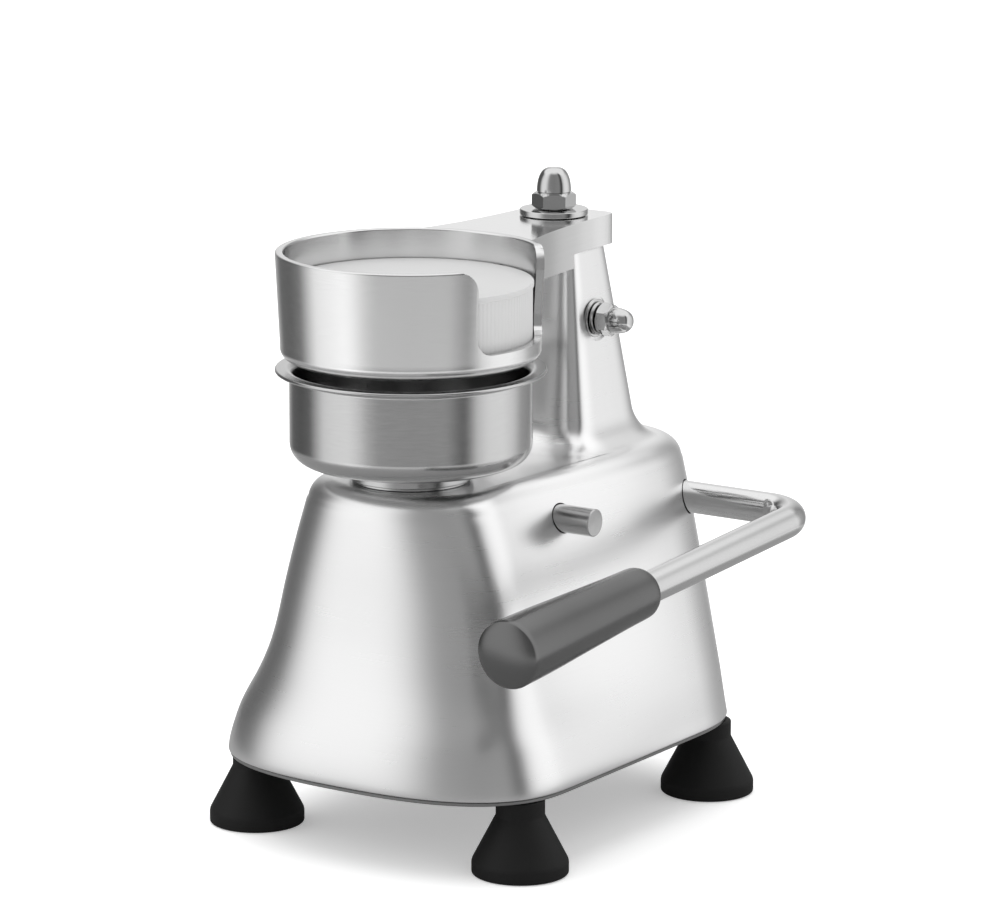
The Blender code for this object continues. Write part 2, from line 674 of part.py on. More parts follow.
def make_post_head():
    """The spindle that the arm turns on, and the bolt across the post that holds it."""
    thread_top = 274.0
    foot = POST_CORE_TOP_Z - 4
    spindle_outline = [
        (0, thread_top),
        (SPINDLE_THREAD_R - 0.7, thread_top),
        (SPINDLE_THREAD_R, thread_top - 0.7),
        (SPINDLE_THREAD_R, ARM_TOP_Z),
        (SPINDLE_R, ARM_TOP_Z),
        (SPINDLE_R, foot),
        (0, foot),
    ]
    spindle = turned("pivot_spindle", spindle_outline, 28)
    spindle = add("pivot_spindle", spindle, BRIGHT, origin, (0, PIVOT_Y, 0))
    hole = cylinder("hole", CROSS_BOLT_R + GAP, -20, 20, "X", 24)
    cut(spindle, "spindle_cross_hole", hole, origin, (0, PIVOT_Y, CROSS_BOLT_Z))

    at_bolt = (0, PIVOT_Y, CROSS_BOLT_Z)
    face = SIDE_FACE_X + GAP
    across_flats = 13.0
    head_height = 5.3
    shank = cylinder("cross_bolt", CROSS_BOLT_R, -face - 2, face + 12.5, "X", 28)
    bolt = add("cross_bolt", shank, BRIGHT, origin, at_bolt)
    head = hexagon("head", across_flats, face, face + head_height)
    join(bolt, "bolt_head", head, origin, at_bolt, (0, -pi / 2, 0))
    spring_x = add_ring("side_washer", 8.5, 1.6, face)[1]
    split, nut_x = add_ring("side_spring_washer", 7.4, 2.0, spring_x)
    slit = box("slit", (-3, -0.5, 0), (5, 0.5, 20))
    cut(split, "washer_slit", slit, origin, split.location / MM, (radians(20), 0, 0))
    spot = (nut_x, PIVOT_Y, CROSS_BOLT_Z)
    acorn_nut("side_acorn_nut", across_flats, 6.5, 6.1, 15, CROSS_BOLT_R, 8.7, spot, (0, pi / 2, 0), origin)


def add_ring(name, radius, thickness, x):
    """A washer on the cross bolt. Returns it and where the next piece starts."""
    bore = CROSS_BOLT_R + GAP
    ring = turned(name, [(bore, thickness), (radius, thickness), (radius, 0), (bore, 0)], 34)
    obj = add(name, ring, BRIGHT, origin, (x, PIVOT_Y, CROSS_BOLT_Z), (0, pi / 2, 0))
    return obj, x + thickness + GAP


def acorn_nut(name, across_flats, hex_height, dome_r, height, thread_r, depth, spot, lean, parent):
    """A hexagon with its top corners turned off, and a dome over a blind thread."""
    nut = add(name, hexagon(name, across_flats, 0, hex_height), BRIGHT, parent, spot, lean)
    corner = across_flats / 2 / cos(pi / 6)
    chamfer = [(0, 20), (across_flats / 2, 20), (across_flats / 2, hex_height)]
    chamfer += [(corner + 0.6, hex_height - 1.5), (corner + 0.6, 1.0), (across_flats / 2, 0), (0, 0)]
    turned_off = add(f"{name}_chamfer", turned("chamfer", chamfer, 20), None, parent, spot, lean, cutter=True)
    boolean(nut, turned_off, "INTERSECT")
    shoulder = height - dome_r
    dome = arc((0, shoulder), dome_r, 90, 0, 5)
    dome[0] = (0, height)
    join(nut, f"{name}_dome", turned("dome", dome + [(dome_r, 2), (0, 2)], 22), parent, spot, lean)
    cut(nut, f"{name}_thread", cylinder("thread", thread_r + GAP, -2, depth, sides=16), parent, spot, lean)


ARM_FRONT_Z = 238.0
ARM_REAR_Z = 244.0 + GAP
ARM_STEP_R = 27.0
# Distance ahead of the pivot, and half width, along one edge of the arm
ARM_EDGE = [(-20, 15), (-18.5, 18.5), (-15, 20), (0, 20.4), (15, 21.2), (34, 23), (47, 25.2), (62, 28.5)]


def arm_outline():
    right = [(half, -ahead) for ahead, half in ARM_EDGE]
    return right + [(-x, y) for x, y in reversed(right)]


NUT_TURN_DEG = 34.0  # one flat of the top nut faces the front right


def make_arm():
    """The arm carries the cup. Its empty lies on the pivot's axis."""
    swing = empty("arm_swing", (0, PIVOT_Y, 0), origin)
    rings = [at(z, arm_outline()) for z in (ARM_FRONT_Z, ARM_TOP_Z)]
    arm = add("swing_arm", loft("swing_arm", rings), CAST, swing)
    step = cylinder("step", ARM_STEP_R, ARM_FRONT_Z - 5, ARM_REAR_Z, sides=64)
    cut(arm, "arm_step", step, swing)
    seat = cylinder("seat", CUP_RIM_R + GAP, ARM_FRONT_Z - 20, ARM_TOP_Z + 20, sides=72)
    cut(arm, "arm_seat", seat, swing, (0, -PIVOT_Y, 0))
    bush_r = 10.0
    cut(arm, "arm_bore", cylinder("bore", bush_r + GAP, ARM_FRONT_Z, ARM_TOP_Z + 5), swing)
    top, bottom, bore = ARM_TOP_Z - 0.2, ARM_REAR_Z + 0.2, SPINDLE_R + 0.1
    bush = [(bore, top), (bush_r, top), (bush_r, bottom), (bore, bottom)]
    add("arm_bush", turned("arm_bush", bush, 28), BRONZE, swing)
    washer_z = ARM_TOP_Z + GAP
    thickness = 2.5
    radius = 15.1
    bore = SPINDLE_THREAD_R + GAP
    washer = [(bore, thickness), (radius - 0.5, thickness), (radius, thickness - 0.5), (radius, 0), (bore, 0)]
    add("top_washer", turned("top_washer", washer, 32), BRIGHT, origin, (0, PIVOT_Y, washer_z))
    spot = (0, PIVOT_Y, washer_z + thickness + GAP)
    turn = (0, 0, radians(NUT_TURN_DEG))
    acorn_nut("top_acorn_nut", 17, 8, 8, 18, SPINDLE_THREAD_R, 13.6, spot, turn, origin)
    make_cup(swing, arm)


WINDOW_FROM_DEG = -26.0
WINDOW_TO_DEG = 42.0
WINDOW_SILL_Z = 221.2
WINDOW_CORNER_R = 8.0
WINDOW_SHOULDER_R = 10.0  # the rounding of the wall's two free corners at the rim
PAPER_R = 52.0
PAPER_TOP_Z = 245.4


def make_cup(swing, arm):
    """The cup, the stack of paper discs in it, and the two screws that hold it to the arm."""
    middle = (0, -PIVOT_Y, 0)
    corner = 5.0
    floor_thickness = CUP_WALL + 0.5
    corner_middle = CUP_BOTTOM_R - corner
    inner_rim = CUP_RIM_R - CUP_WALL
    outline = [(0, CUP_FLOOR_Z)]
    outline += arc((corner_middle, CUP_FLOOR_Z + corner), corner, -90, 0, 4)
    outline += [(CUP_RIM_R, CUP_RIM_Z - 0.6), (CUP_RIM_R - 0.6, CUP_RIM_Z)]
    outline += [(inner_rim + 0.5, CUP_RIM_Z), (inner_rim, CUP_RIM_Z - 0.5)]
    outline += arc((corner_middle, CUP_FLOOR_Z + corner + 0.5), corner - CUP_WALL, 0, -90, 3)
    outline += [(0, CUP_FLOOR_Z + floor_thickness)]
    cup = add("upper_cup", turned("upper_cup", outline[::-1], 44), STAINLESS, swing, middle)
    cut(cup, "cup_window", window_cutter(), swing, middle)

    floor = CUP_FLOOR_Z + floor_thickness + GAP
    top, lip, body = PAPER_TOP_Z, PAPER_R + 0.3, PAPER_R - 0.3
    stack = [(0, top), (lip, top), (lip, top - 2), (body, top - 2.6)]
    stack += [(body, floor + 1.5), (body - 1.2, floor), (0, floor)]
    add("paper_stack", turned("paper_stack", stack, 40), PAPER, swing, middle)

    for side, name in ((-1, "left"), (1, "right")):
        make_cup_screw(name, cup, arm, swing, (radians(-90), 0, radians(-12 * side)))


def make_cup_screw(name, cup, arm, swing, lean):
    """A countersunk screw from inside the cup, out through its wall into the arm."""
    spot = Vector((0, -PIVOT_Y, 243.0))
    face = CUP_RIM_R - CUP_WALL + 0.5
    shank = 2.0
    end = face + 19
    wide = shank + GAP
    bore = [(0, end), (wide, end), (wide, face + 1.7), (4.2, face - 0.3), (4.2, face - 4), (0, face - 4)]
    cut(cup, f"cup_screw_hole_{name}", turned("hole", bore, 20), swing, spot, lean)
    tap = cylinder("tap", wide, 40, end + 2, sides=20)
    cut(arm, f"arm_tap_{name}", tap, swing, spot, lean)
    screw = [(0, end), (shank, end), (shank, face + 1.8), (3.7, face), (0, face)]
    add(f"cup_screw_{name}", turned("cup_screw", screw, 20), BRIGHT, swing, spot, lean)


def corner_rise(reach, radius):
    """How far a quarter-round corner of that radius stands off its edge, at a reach from its side."""
    return 0.0 if reach >= radius else radius - (radius**2 - (radius - reach) ** 2) ** 0.5


def window_cutter():
    """The window as upright columns round the cup's axis: rounded at its sill, and opening out with a
    round shoulder on each side at the rim."""
    bm = bmesh.new()
    width = radians(WINDOW_TO_DEG - WINDOW_FROM_DEG) * CUP_RIM_R
    inside, outside, above = 45.0, 75.0, CUP_RIM_Z + 12
    shoulders = [WINDOW_SHOULDER_R * share for share in (1.1, 0.75, 0.5, 0.28, 0.1, 0.02)]
    corners = [WINDOW_CORNER_R * share for share in (0.0, 0.04, 0.15, 0.35, 0.65, 1.0)]
    spans = [width * share / 10 for share in range(2, 9)]
    stops = [-reach for reach in shoulders] + corners + spans
    stops += [width - reach for reach in corners[::-1]] + [width + reach for reach in shoulders[::-1]]
    columns = []
    for stop in stops:
        angle = radians(WINDOW_FROM_DEG) + stop / CUP_RIM_R
        beyond = max(-stop, stop - width)
        if beyond > 0:
            low = CUP_RIM_Z - corner_rise(beyond, WINDOW_SHOULDER_R) + 0.02
        else:
            low = WINDOW_SILL_Z + corner_rise(-beyond, WINDOW_CORNER_R)
        column = [(inside, low), (outside, low), (outside, above), (inside, above)]
        columns.append([bm.verts.new((r * cos(angle), r * sin(angle), z)) for r, z in column])
    for first, second in zip(columns, columns[1:]):
        skin(bm, first, second)
    bm.faces.new(columns[0])
    bm.faces.new(columns[-1])
    return mesh_of(bm, "cup_window")


make_body()
make_base()
make_bowl()
make_ram()
make_handle()
make_shaft_bushes()
make_stop_pin()
make_post_head()
make_arm()
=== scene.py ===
"""The patty press's looks: finer meshes for every piece that shows, materials, lights and camera.

Lengths are millimetres, measured from the bowl's axis as in the CAD: X to the operator's right, Y to
the back, Z = 0 on the table. A turned piece's own Z axis is the axis that it was turned about.
"""

from math import atan2, cos, pi, radians, sin, tan

import bmesh
import bpy
from mathutils import Matrix, Vector


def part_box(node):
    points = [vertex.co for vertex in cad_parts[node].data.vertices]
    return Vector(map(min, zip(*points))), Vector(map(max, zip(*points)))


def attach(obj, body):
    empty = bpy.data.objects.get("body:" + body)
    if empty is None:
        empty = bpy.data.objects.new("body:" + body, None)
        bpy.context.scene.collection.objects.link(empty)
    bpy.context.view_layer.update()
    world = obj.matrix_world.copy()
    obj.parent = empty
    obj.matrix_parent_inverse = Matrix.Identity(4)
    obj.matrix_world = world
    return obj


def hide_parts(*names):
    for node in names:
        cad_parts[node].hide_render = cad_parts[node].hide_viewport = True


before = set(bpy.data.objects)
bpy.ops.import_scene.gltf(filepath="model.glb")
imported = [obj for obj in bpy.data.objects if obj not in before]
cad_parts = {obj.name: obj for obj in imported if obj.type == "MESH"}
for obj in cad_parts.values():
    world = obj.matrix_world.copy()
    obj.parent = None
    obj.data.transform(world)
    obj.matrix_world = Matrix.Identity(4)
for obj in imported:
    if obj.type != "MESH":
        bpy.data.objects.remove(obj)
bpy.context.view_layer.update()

MM = 0.001
BOWL_MIDDLE = (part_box("bowl")[0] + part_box("bowl")[1]) / 2
ORIGIN = Vector((BOWL_MIDDLE.x, BOWL_MIDDLE.y, 0))
ALONG_X = (0, pi / 2, 0)  # turns a piece's own Z axis to +X
ALONG_MINUS_X = (0, -pi / 2, 0)


def low(node):
    return (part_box(node)[0] - ORIGIN) / MM


def high(node):
    return (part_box(node)[1] - ORIGIN) / MM


def middle(node):
    return (low(node) + high(node)) / 2


# ------------------------------------------------------------ sizes, from the frame where it has them

PLATFORM_Z = 158.5
BASE_Z = high("base_plate").z + 0.3
REAR_SPLIT_Y = 100.0
WALL = 5.5
CEILING = 7.0  # the thickness under the platform
STOP_PIN_HOLE_R = 6.45
SHOULDER_R = 10.0
FEET = ("front_left", "front_right", "rear_left", "rear_right")
FOOT_SCREW_HOLE_R = 3.3

PIVOT_Y = middle("top_washer").y
ARM_TOP_Z = high("swing_arm").z
ARM_FRONT_Z = low("swing_arm").z
ARM_REAR_Z = 244.3
POST_TOP_Z = ARM_REAR_Z - 0.3
CROSS_BOLT_Z = middle("side_washer").z
SIDE_FACE_X = low("side_washer").x - 0.3
POST_HALF_WIDTH = 18.0
POST_FRONT = 14.0
POST_BACK = 17.5
POST_DRAFT = tan(radians(8.5))
POST_FILLET = (12.0, 14.0, 6.0)  # how far its foot's fillet spreads sideways, forward and back
POST_FILLET_HEIGHT = 12.0
POST_CORE_TOP_Z = 203.0
POST_WALL = 6.0
SPINDLE_HOLE_R = 8.3
CROSS_BOLT_HOLE_R = 4.3
CROSS_BOLT_SEAT_R = 10.0

BOWL_R = 52.0
BOWL_WALL = 2.0
BOWL_CORNER_R = 9.0
BOWL_FLANGE_R = high("bowl").x
BOWL_FLANGE_Z = high("bowl").z
BOWL_FLOOR_Z = low("bowl").z
BUSH_HOLE_R = 12.3

CUP_RIM_Z = high("upper_cup").z
CUP_RIM_R = 57.8
CUP_BOTTOM_R = 55.8
CUP_FLOOR_Z = low("upper_cup").z
CUP_WALL = 3.5
WINDOW_FROM = radians(-26.0)
WINDOW_TO = radians(42.0)
WINDOW_SILL_Z = 221.2
WINDOW_CORNER_R = 8.0
WINDOW_SHOULDER_R = 10.0

SHAFT_Y = middle("shaft_bush_right").y
SHAFT_Z = middle("shaft_bush_right").z
ROD_R = 7.0
HANDLE_X = 117.0
HANDLE_BEND_R = 18.0
DROOP = radians(3.2)
GRIP_FRONT_REACH = 239.0
GRIP_LENGTH = 104.0
GRIP_R = 14.3
GRIP_REAR_R = 10.5
GRIP_HOLE_DEPTH = 25.5

# Across the flats, the hexagon's height, the dome's radius and the thread's radius
TOP_NUT = (17, 7, 7.6, 5)
SIDE_NUT = (13, 6.0, 5.8, 4)
NUT_TURN = radians(34.0)

# Distance ahead of the pivot, and half width, along one edge of the arm
ARM_EDGE = [
    (-20, 15), (-18.5, 18.5), (-15, 20), (0, 20.4), (15, 21.2), (34, 23), (47, 25.2), (62, 28.5),
]
ARM_STEP_R = 27.0

# The casting's outside: height, then half width, depth and power of its front and of its rear oval
BODY_SECTIONS = [
    (BASE_Z, (83.0, 56.0, 2.6), (83.0, 66.0, 2.8)),
    (40.0, (82.3, 55.4, 2.6), (81.8, 66.0, 2.8)),
    (48.0, (80.0, 53.8, 2.6), (80.2, 65.8, 2.8)),
    (56.0, (77.2, 51.4, 2.6), (78.6, 65.6, 2.8)),
    (62.0, (74.3, 49.0, 2.58), (77.2, 65.5, 2.8)),
    (69.0, (70.7, 46.0, 2.54), (75.6, 65.4, 2.8)),
    (76.0, (67.7, 43.2, 2.5), (74.0, 65.2, 2.8)),
    (84.0, (64.9, 40.8, 2.46), (72.2, 65.0, 2.8)),
    (94.0, (62.3, 38.8, 2.42), (69.9, 64.7, 2.8)),
    (112.0, (58.2, 36.8, 2.38), (65.8, 64.0, 2.8)),
    (132.0, (52.6, 35.6, 2.32), (61.0, 63.0, 2.8)),
    (148.5, (47.2, 34.9, 2.28), (56.6, 62.2, 2.8)),
]
TOP_FRONT = (46.5, 34.6, 2.26)
TOP_REAR = (56.0, 62.0, 2.8)


# ------------------------------------------------------------ materials


def add_node(tree, kind, inputs, **settings):
    """A node whose inputs are values or other nodes' output sockets. Returns its first output."""
    made = tree.nodes.new(kind)
    for key, value in settings.items():
        setattr(made, key, value)
    for key, value in inputs.items():
        if isinstance(value, bpy.types.NodeSocket):
            tree.links.new(value, made.inputs[key])
        else:
            made.inputs[key].default_value = value
    return made.outputs[0]


def maths(tree, operation, *values):
    return add_node(tree, "ShaderNodeMath", dict(enumerate(values)), operation=operation)


def blend(tree, share, first, second):
    """From the first value to the second as share goes from 0 to 1."""
    return add_node(tree, "ShaderNodeMapRange", {"Value": share, "To Min": first, "To Max": second})


def noise(tree, vector, scale, detail=2.0):
    inputs = {"Vector": vector, "Scale": scale, "Detail": detail}
    return add_node(tree, "ShaderNodeTexNoise", inputs)


def stretched(tree, vector, scales):
    inputs = {"Vector": vector, "Scale": scales}
    return add_node(tree, "ShaderNodeMapping", inputs, vector_type="POINT")


def turned_coordinates(tree, place):
    """(radius, angle, height) about the piece's own Z axis, for marks that run round it."""
    split = tree.nodes.new("ShaderNodeSeparateXYZ")
    tree.links.new(place, split.inputs[0])
    x, y, z = split.outputs
    squares = maths(tree, "ADD", maths(tree, "MULTIPLY", x, x), maths(tree, "MULTIPLY", y, y))
    across = maths(tree, "SQRT", squares)
    angle = maths(tree, "ARCTAN2", y, x)
    return add_node(tree, "ShaderNodeCombineXYZ", {0: across, 1: angle, 2: z})


def new_look(name):
    made = bpy.data.materials.new(name)
    made.use_nodes = True
    tree = made.node_tree
    place = tree.nodes.new("ShaderNodeTexCoord").outputs["Object"]
    return made, tree, place, tree.nodes["Principled BSDF"]


def tone(tree, shader, value, dark, light):
    """A neutral base colour that varies between two greys."""
    grey = blend(tree, value, dark, light)
    color = add_node(tree, "ShaderNodeCombineColor", {0: grey, 1: grey, 2: grey})
    tree.links.new(color, shader.inputs["Base Color"])


def bumpy(tree, shader, value, strength, depth_mm):
    inputs = {"Height": value, "Strength": strength, "Distance": depth_mm * MM}
    tree.links.new(add_node(tree, "ShaderNodeBump", inputs), shader.inputs["Normal"])


ROUND_MARKS = 9.0  # how finely marks that run round a piece break up along their length
LEVEL_MARKS = 60.0  # how many times longer than wide level marks are
MARKS_SHARE = 0.6  # the share of the marks in a metal's tone, against the cloudy noise's


def metal(name, greys, roughness, grain, anisotropy=0.0, depth=0.01, turned_grain=True, blotches=0.02):
    """Ground or brushed metal. grain is cycles per millimetre across the marks, which run round the
    piece's axis, or level where turned_grain is off. A coarse noise varies the gloss like handling."""
    made, tree, place, shader = new_look(name)
    shader.inputs["Metallic"].default_value = 1.0
    across = grain / MM
    if turned_grain:
        scales = (across, ROUND_MARKS, across)
        marks = noise(tree, stretched(tree, turned_coordinates(tree, place), scales), 1.0)
    else:
        scales = (across / LEVEL_MARKS, across / LEVEL_MARKS, across)
        marks = noise(tree, stretched(tree, place, scales), 1.0)
    cloud = noise(tree, place, 28.0, 4.0)
    marks_part = maths(tree, "MULTIPLY", marks, MARKS_SHARE)
    cloud_part = maths(tree, "MULTIPLY", cloud, 1 - MARKS_SHARE)
    tone(tree, shader, maths(tree, "ADD", marks_part, cloud_part), *greys)
    even = blend(tree, marks, *roughness)
    rough = maths(tree, "ADD", even, blend(tree, cloud, -blotches, blotches))
    tree.links.new(rough, shader.inputs["Roughness"])
    bumpy(tree, shader, marks, 0.35, depth)
    if anisotropy:
        shader.inputs["Anisotropic"].default_value = anisotropy
        tree.links.new(across_the_marks(tree, place, turned_grain), shader.inputs["Tangent"])
    return made


def vector_maths(tree, operation, *vectors):
    return add_node(tree, "ShaderNodeVectorMath", dict(enumerate(vectors)), operation=operation)


def across_the_marks(tree, place, turned_grain):
    """The way that marks stretch a highlight: up a wall, and outward too on a turned piece."""
    if not turned_grain:
        return add_node(tree, "ShaderNodeCombineXYZ", {2: 1.0})
    flat = vector_maths(tree, "MULTIPLY", place, (1.0, 1.0, 0.0))
    local = vector_maths(tree, "ADD", vector_maths(tree, "NORMALIZE", flat), (0.0, 0.0, 1.0))
    spaces = {"vector_type": "VECTOR", "convert_from": "OBJECT", "convert_to": "WORLD"}
    return add_node(tree, "ShaderNodeVectorTransform", {0: local}, **spaces)


def moulded(name, greys, roughness, bump_scale, depth, gloss):
    """Moulded rubber, plastic or paper: an even colour with a fine texture. gloss is its index of
    refraction, which is high where the studio shines strongly in it."""
    made, tree, place, shader = new_look(name)
    shader.inputs["IOR"].default_value = gloss
    texture = noise(tree, place, bump_scale, 3.0)
    cloud = noise(tree, place, 45.0, 3.0)
    tone(tree, shader, cloud, *greys)
    tree.links.new(blend(tree, cloud, *roughness), shader.inputs["Roughness"])
    bumpy(tree, shader, texture, 0.5, depth)
    return made


CAST = metal("cast_aluminium", (0.92, 0.96), (0.26, 0.31), 1.4, 0.35, 0.0009, False)
ARM_METAL = metal("polished_casting", (0.90, 0.96), (0.11, 0.18), 1.2, 0.0, 0.002, False)
STAINLESS = metal("brushed_stainless", (0.56, 0.64), (0.16, 0.23), 1.8, 0.5, 0.008)
CUP_STEEL = metal("brushed_cup_steel", (0.76, 0.86), (0.17, 0.24), 1.8, 0.5, 0.008, True, 0.04)
BRIGHT = metal("bright_steel", (0.62, 0.70), (0.08, 0.14), 2.0, 0.0, 0.004)
ROD = metal("polished_rod", (0.70, 0.80), (0.08, 0.14), 1.6, 0.3, 0.003)
PIN = metal("turned_steel", (0.56, 0.64), (0.20, 0.28), 1.6, 0.4, 0.005)
# Painted shade: the base plate's steel is greyer than the bowl's, standing for the shade under the
# casting's edge.
PLATE_WITH_PAINTED_SHADE = metal("sheet_darkened_as_shade", (0.34, 0.42), (0.28, 0.36), 1.2, 0.0, 0.008, False)
BRONZE = metal("bronze", (0.40, 0.46), (0.28, 0.36), 1.5, 0.0, 0.008)
RUBBER = moulded("black_rubber", (0.004, 0.008), (0.55, 0.70), 2200.0, 0.05, 1.4)
GRIP = moulded("black_plastic", (0.012, 0.016), (0.20, 0.26), 1500.0, 0.004, 2.3)
PAPER = moulded("paper", (0.56, 0.60), (0.75, 0.9), 900.0, 0.03, 1.35)


# ------------------------------------------------------------ mesh helpers


def rounded(points, steps=5):
    """A closed outline. A point with a third value has its corner rounded to that radius."""
    outline = []
    for index, point in enumerate(points):
        here = Vector(point[:2])
        if len(point) < 3:
            outline.append(tuple(here))
            continue
        back = Vector(points[index - 1][:2]) - here
        ahead = Vector(points[(index + 1) % len(points)][:2]) - here
        half = back.angle(ahead) / 2
        reach = min(point[2] / tan(half), back.length * 0.49, ahead.length * 0.49)
        radius = reach * tan(half)
        centre = here + (back.normalized() + ahead.normalized()).normalized() * (radius / sin(half))
        enter = here + back.normalized() * reach - centre
        leave = here + ahead.normalized() * reach - centre
        first = atan2(enter.y, enter.x)
        sweep = (atan2(leave.y, leave.x) - first + pi) % (2 * pi) - pi
        for step in range(steps + 1):
            angle = first + sweep * step / steps
            outline.append((centre.x + radius * cos(angle), centre.y + radius * sin(angle)))
    return outline


def arc(centre, radius, start_deg, end_deg, steps):
    turns = [radians(start_deg + (end_deg - start_deg) * step / steps) for step in range(steps + 1)]
    return [(centre[0] + radius * cos(a), centre[1] + radius * sin(a)) for a in turns]


def skin(bm, first, second):
    """Joins two closed rings of vertices, either of which may be a single point on the axis."""
    count = max(len(first), len(second))
    for step in range(count):
        after = (step + 1) % count
        corners = [first[step % len(first)], first[after % len(first)]]
        corners += [second[after % len(second)], second[step % len(second)]]
        kept = list(dict.fromkeys(corners))
        if len(kept) > 2:
            bm.faces.new(kept)


def turned(profile, sides=128, ripple=None):
    """A closed (radius, height) profile turned about Z. ripple(angle, height) adds to the radius."""
    bm = bmesh.new()
    rings = []
    for radius, height in profile:
        if radius < 1e-6:
            rings.append([bm.verts.new((0, 0, height))])
            continue
        ring = []
        for step in range(sides):
            angle = 2 * pi * step / sides
            reach = radius + (ripple(angle, height) if ripple else 0)
            ring.append(bm.verts.new((reach * cos(angle), reach * sin(angle), height)))
        rings.append(ring)
    on_axis = len(rings[0]) == 1 and len(rings[-1]) == 1
    pairs = list(zip(rings, rings[1:]))
    if not on_axis:
        pairs.append((rings[-1], rings[0]))
    for upper, lower in pairs:
        skin(bm, upper, lower)
    return bm


def loft(rings, capped=True):
    bm = bmesh.new()
    rows = [[bm.verts.new(point) for point in ring] for ring in rings]
    for lower, upper in zip(rows, rows[1:]):
        skin(bm, lower, upper)
    if capped:
        bm.faces.new(rows[0])
        bm.faces.new(rows[-1])
    else:
        skin(bm, rows[-1], rows[0])
    return bm


def bar(radius, start, end, sides=64):
    return turned([(0, start), (radius, start), (radius, end), (0, end)], sides)


def swept(path, radius, sides=48):
    """A round bar along a path of points in one plane, with lightly chamfered ends."""
    points = [Vector(point) for point in path]
    normal = (points[1] - points[0]).cross(points[-1] - points[-2]).normalized()
    chamfer = 0.5
    stations = [
        (points[0], radius - chamfer),
        (points[0] + (points[1] - points[0]).normalized() * chamfer, radius),
        *[(point, radius) for point in points[1:-1]],
        (points[-1] - (points[-1] - points[-2]).normalized() * chamfer, radius),
        (points[-1], radius - chamfer),
    ]
    rings = []
    for index, (spot, size) in enumerate(stations):
        ahead = stations[min(index + 1, len(stations) - 1)][0] - stations[max(index - 1, 0)][0]
        side = ahead.normalized().cross(normal)
        turns = [2 * pi * step / sides for step in range(sides)]
        rings.append([spot + (side * cos(a) + normal * sin(a)) * size for a in turns])
    return loft(rings)


# ------------------------------------------------------------ pieces


def start(name, bm, place=(0, 0, 0), turn=(0, 0, 0)):
    """A mesh in millimetres as an object in metres, at its place."""
    mesh = bpy.data.meshes.new(name)
    bmesh.ops.recalc_face_normals(bm, faces=bm.faces)
    bmesh.ops.scale(bm, vec=(MM, MM, MM), verts=bm.verts)
    bm.to_mesh(mesh)
    bm.free()
    obj = bpy.data.objects.new(name, mesh)
    obj.location = ORIGIN + Vector(place) * MM
    obj.rotation_euler = turn
    bpy.context.scene.collection.objects.link(obj)
    return obj


def combine(obj, tool, operation):
    """Cuts the tool from a piece, or joins it on, and keeps the result as the piece's mesh."""
    step = obj.modifiers.new("combine", "BOOLEAN")
    step.operation = operation
    step.object = tool
    step.solver = "EXACT"
    keep_evaluated(obj)
    bpy.data.objects.remove(tool)


def carve(obj, bm, place=(0, 0, 0), turn=(0, 0, 0), operation="DIFFERENCE"):
    combine(obj, start("tool", bm, place, turn), operation)


def keep_evaluated(obj):
    bpy.context.view_layer.update()
    evaluated = obj.evaluated_get(bpy.context.evaluated_depsgraph_get())
    obj.data = bpy.data.meshes.new_from_object(evaluated)
    obj.modifiers.clear()


def done(obj, look, slot, body, *nodes, edge=0.0, sharp_deg=32):
    """Rounds the edges, sets the shading and the material, hangs the piece on its body's empty and hides
    the CAD nodes that it stands for.
    """
    if edge:
        step = obj.modifiers.new("edges", "BEVEL")
        step.width = edge * MM
        step.segments = 2
        step.limit_method = "ANGLE"
        step.angle_limit = radians(sharp_deg)
        keep_evaluated(obj)
    mesh = obj.data
    mesh.materials.clear()
    mesh.materials.append(look)
    mesh.shade_smooth()
    mesh.set_sharp_from_angle(angle=radians(50 if edge else sharp_deg))
    weighted = obj.modifiers.new("normals", "WEIGHTED_NORMAL")
    weighted.keep_sharp = True
    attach(obj, body)
    if nodes:
        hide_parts(*nodes)
    return obj


# ------------------------------------------------------------ body


FRONT_STEPS = 48
SIDE_STEPS = 14
REAR_STEPS = 48


def half_oval(width, depth, power, steps, middle_y, side):
    """Half a superellipse from one flank to the other, round the nose (side 1) or tail (side -1)."""
    points = []
    for step in range(steps + 1):
        angle = pi * step / steps
        across = abs(cos(angle)) ** (2 / power) * (1 if cos(angle) > 0 else -1)
        along = abs(sin(angle)) ** (2 / power)
        points.append((width * across * side, middle_y - side * depth * along))
    return points


def plan(front, rear, front_y=0.0, rear_y=REAR_SPLIT_Y):
    """One horizontal section, whose flanks ease from the front oval's width to the rear one's."""
    nose = half_oval(*front, FRONT_STEPS, front_y, 1)
    tail = half_oval(*rear, REAR_STEPS, rear_y, -1)
    flank = []
    for step in range(1, SIDE_STEPS):
        share = step / SIDE_STEPS
        width = front[0] + (rear[0] - front[0]) * share * share * (3 - 2 * share)
        flank.append((width, front_y + (rear_y - front_y) * share))
    left = [(-x, y) for x, y in flank]
    return nose + left + tail + flank[::-1]


def shrunk(oval, by):
    return (oval[0] - by, oval[1] - by, oval[2])


def at(height, ring):
    return [(x, y, height) for x, y in ring]


def neighbours(rows, index):
    """The rows before, at, after and beyond an index, repeating the first and the last one."""
    return [rows[min(max(index + step, 0), len(rows) - 1)] for step in (-1, 0, 1, 2)]


def eased_sections(height):
    """The two ovals at a height, on a smooth curve through BODY_SECTIONS."""
    rows = [(z, *front, *rear) for z, front, rear in BODY_SECTIONS]
    index = max(i for i, row in enumerate(rows[:-1]) if row[0] <= height + 1e-6)
    before, here, after, beyond = neighbours(rows, index)
    span = after[0] - here[0]
    share = (height - here[0]) / span
    values = []
    for column in range(1, 7):
        slope_in = (after[column] - before[column]) / (after[0] - before[0]) * span
        slope_out = (beyond[column] - here[column]) / (beyond[0] - here[0]) * span
        a, b = here[column], after[column]
        rise = (3 * share**2 - 2 * share**3) * (b - a)
        bend = (share**3 - 2 * share**2 + share) * slope_in + (share**3 - share**2) * slope_out
        values.append(a + rise + bend)
    return tuple(values[:3]), tuple(values[3:])


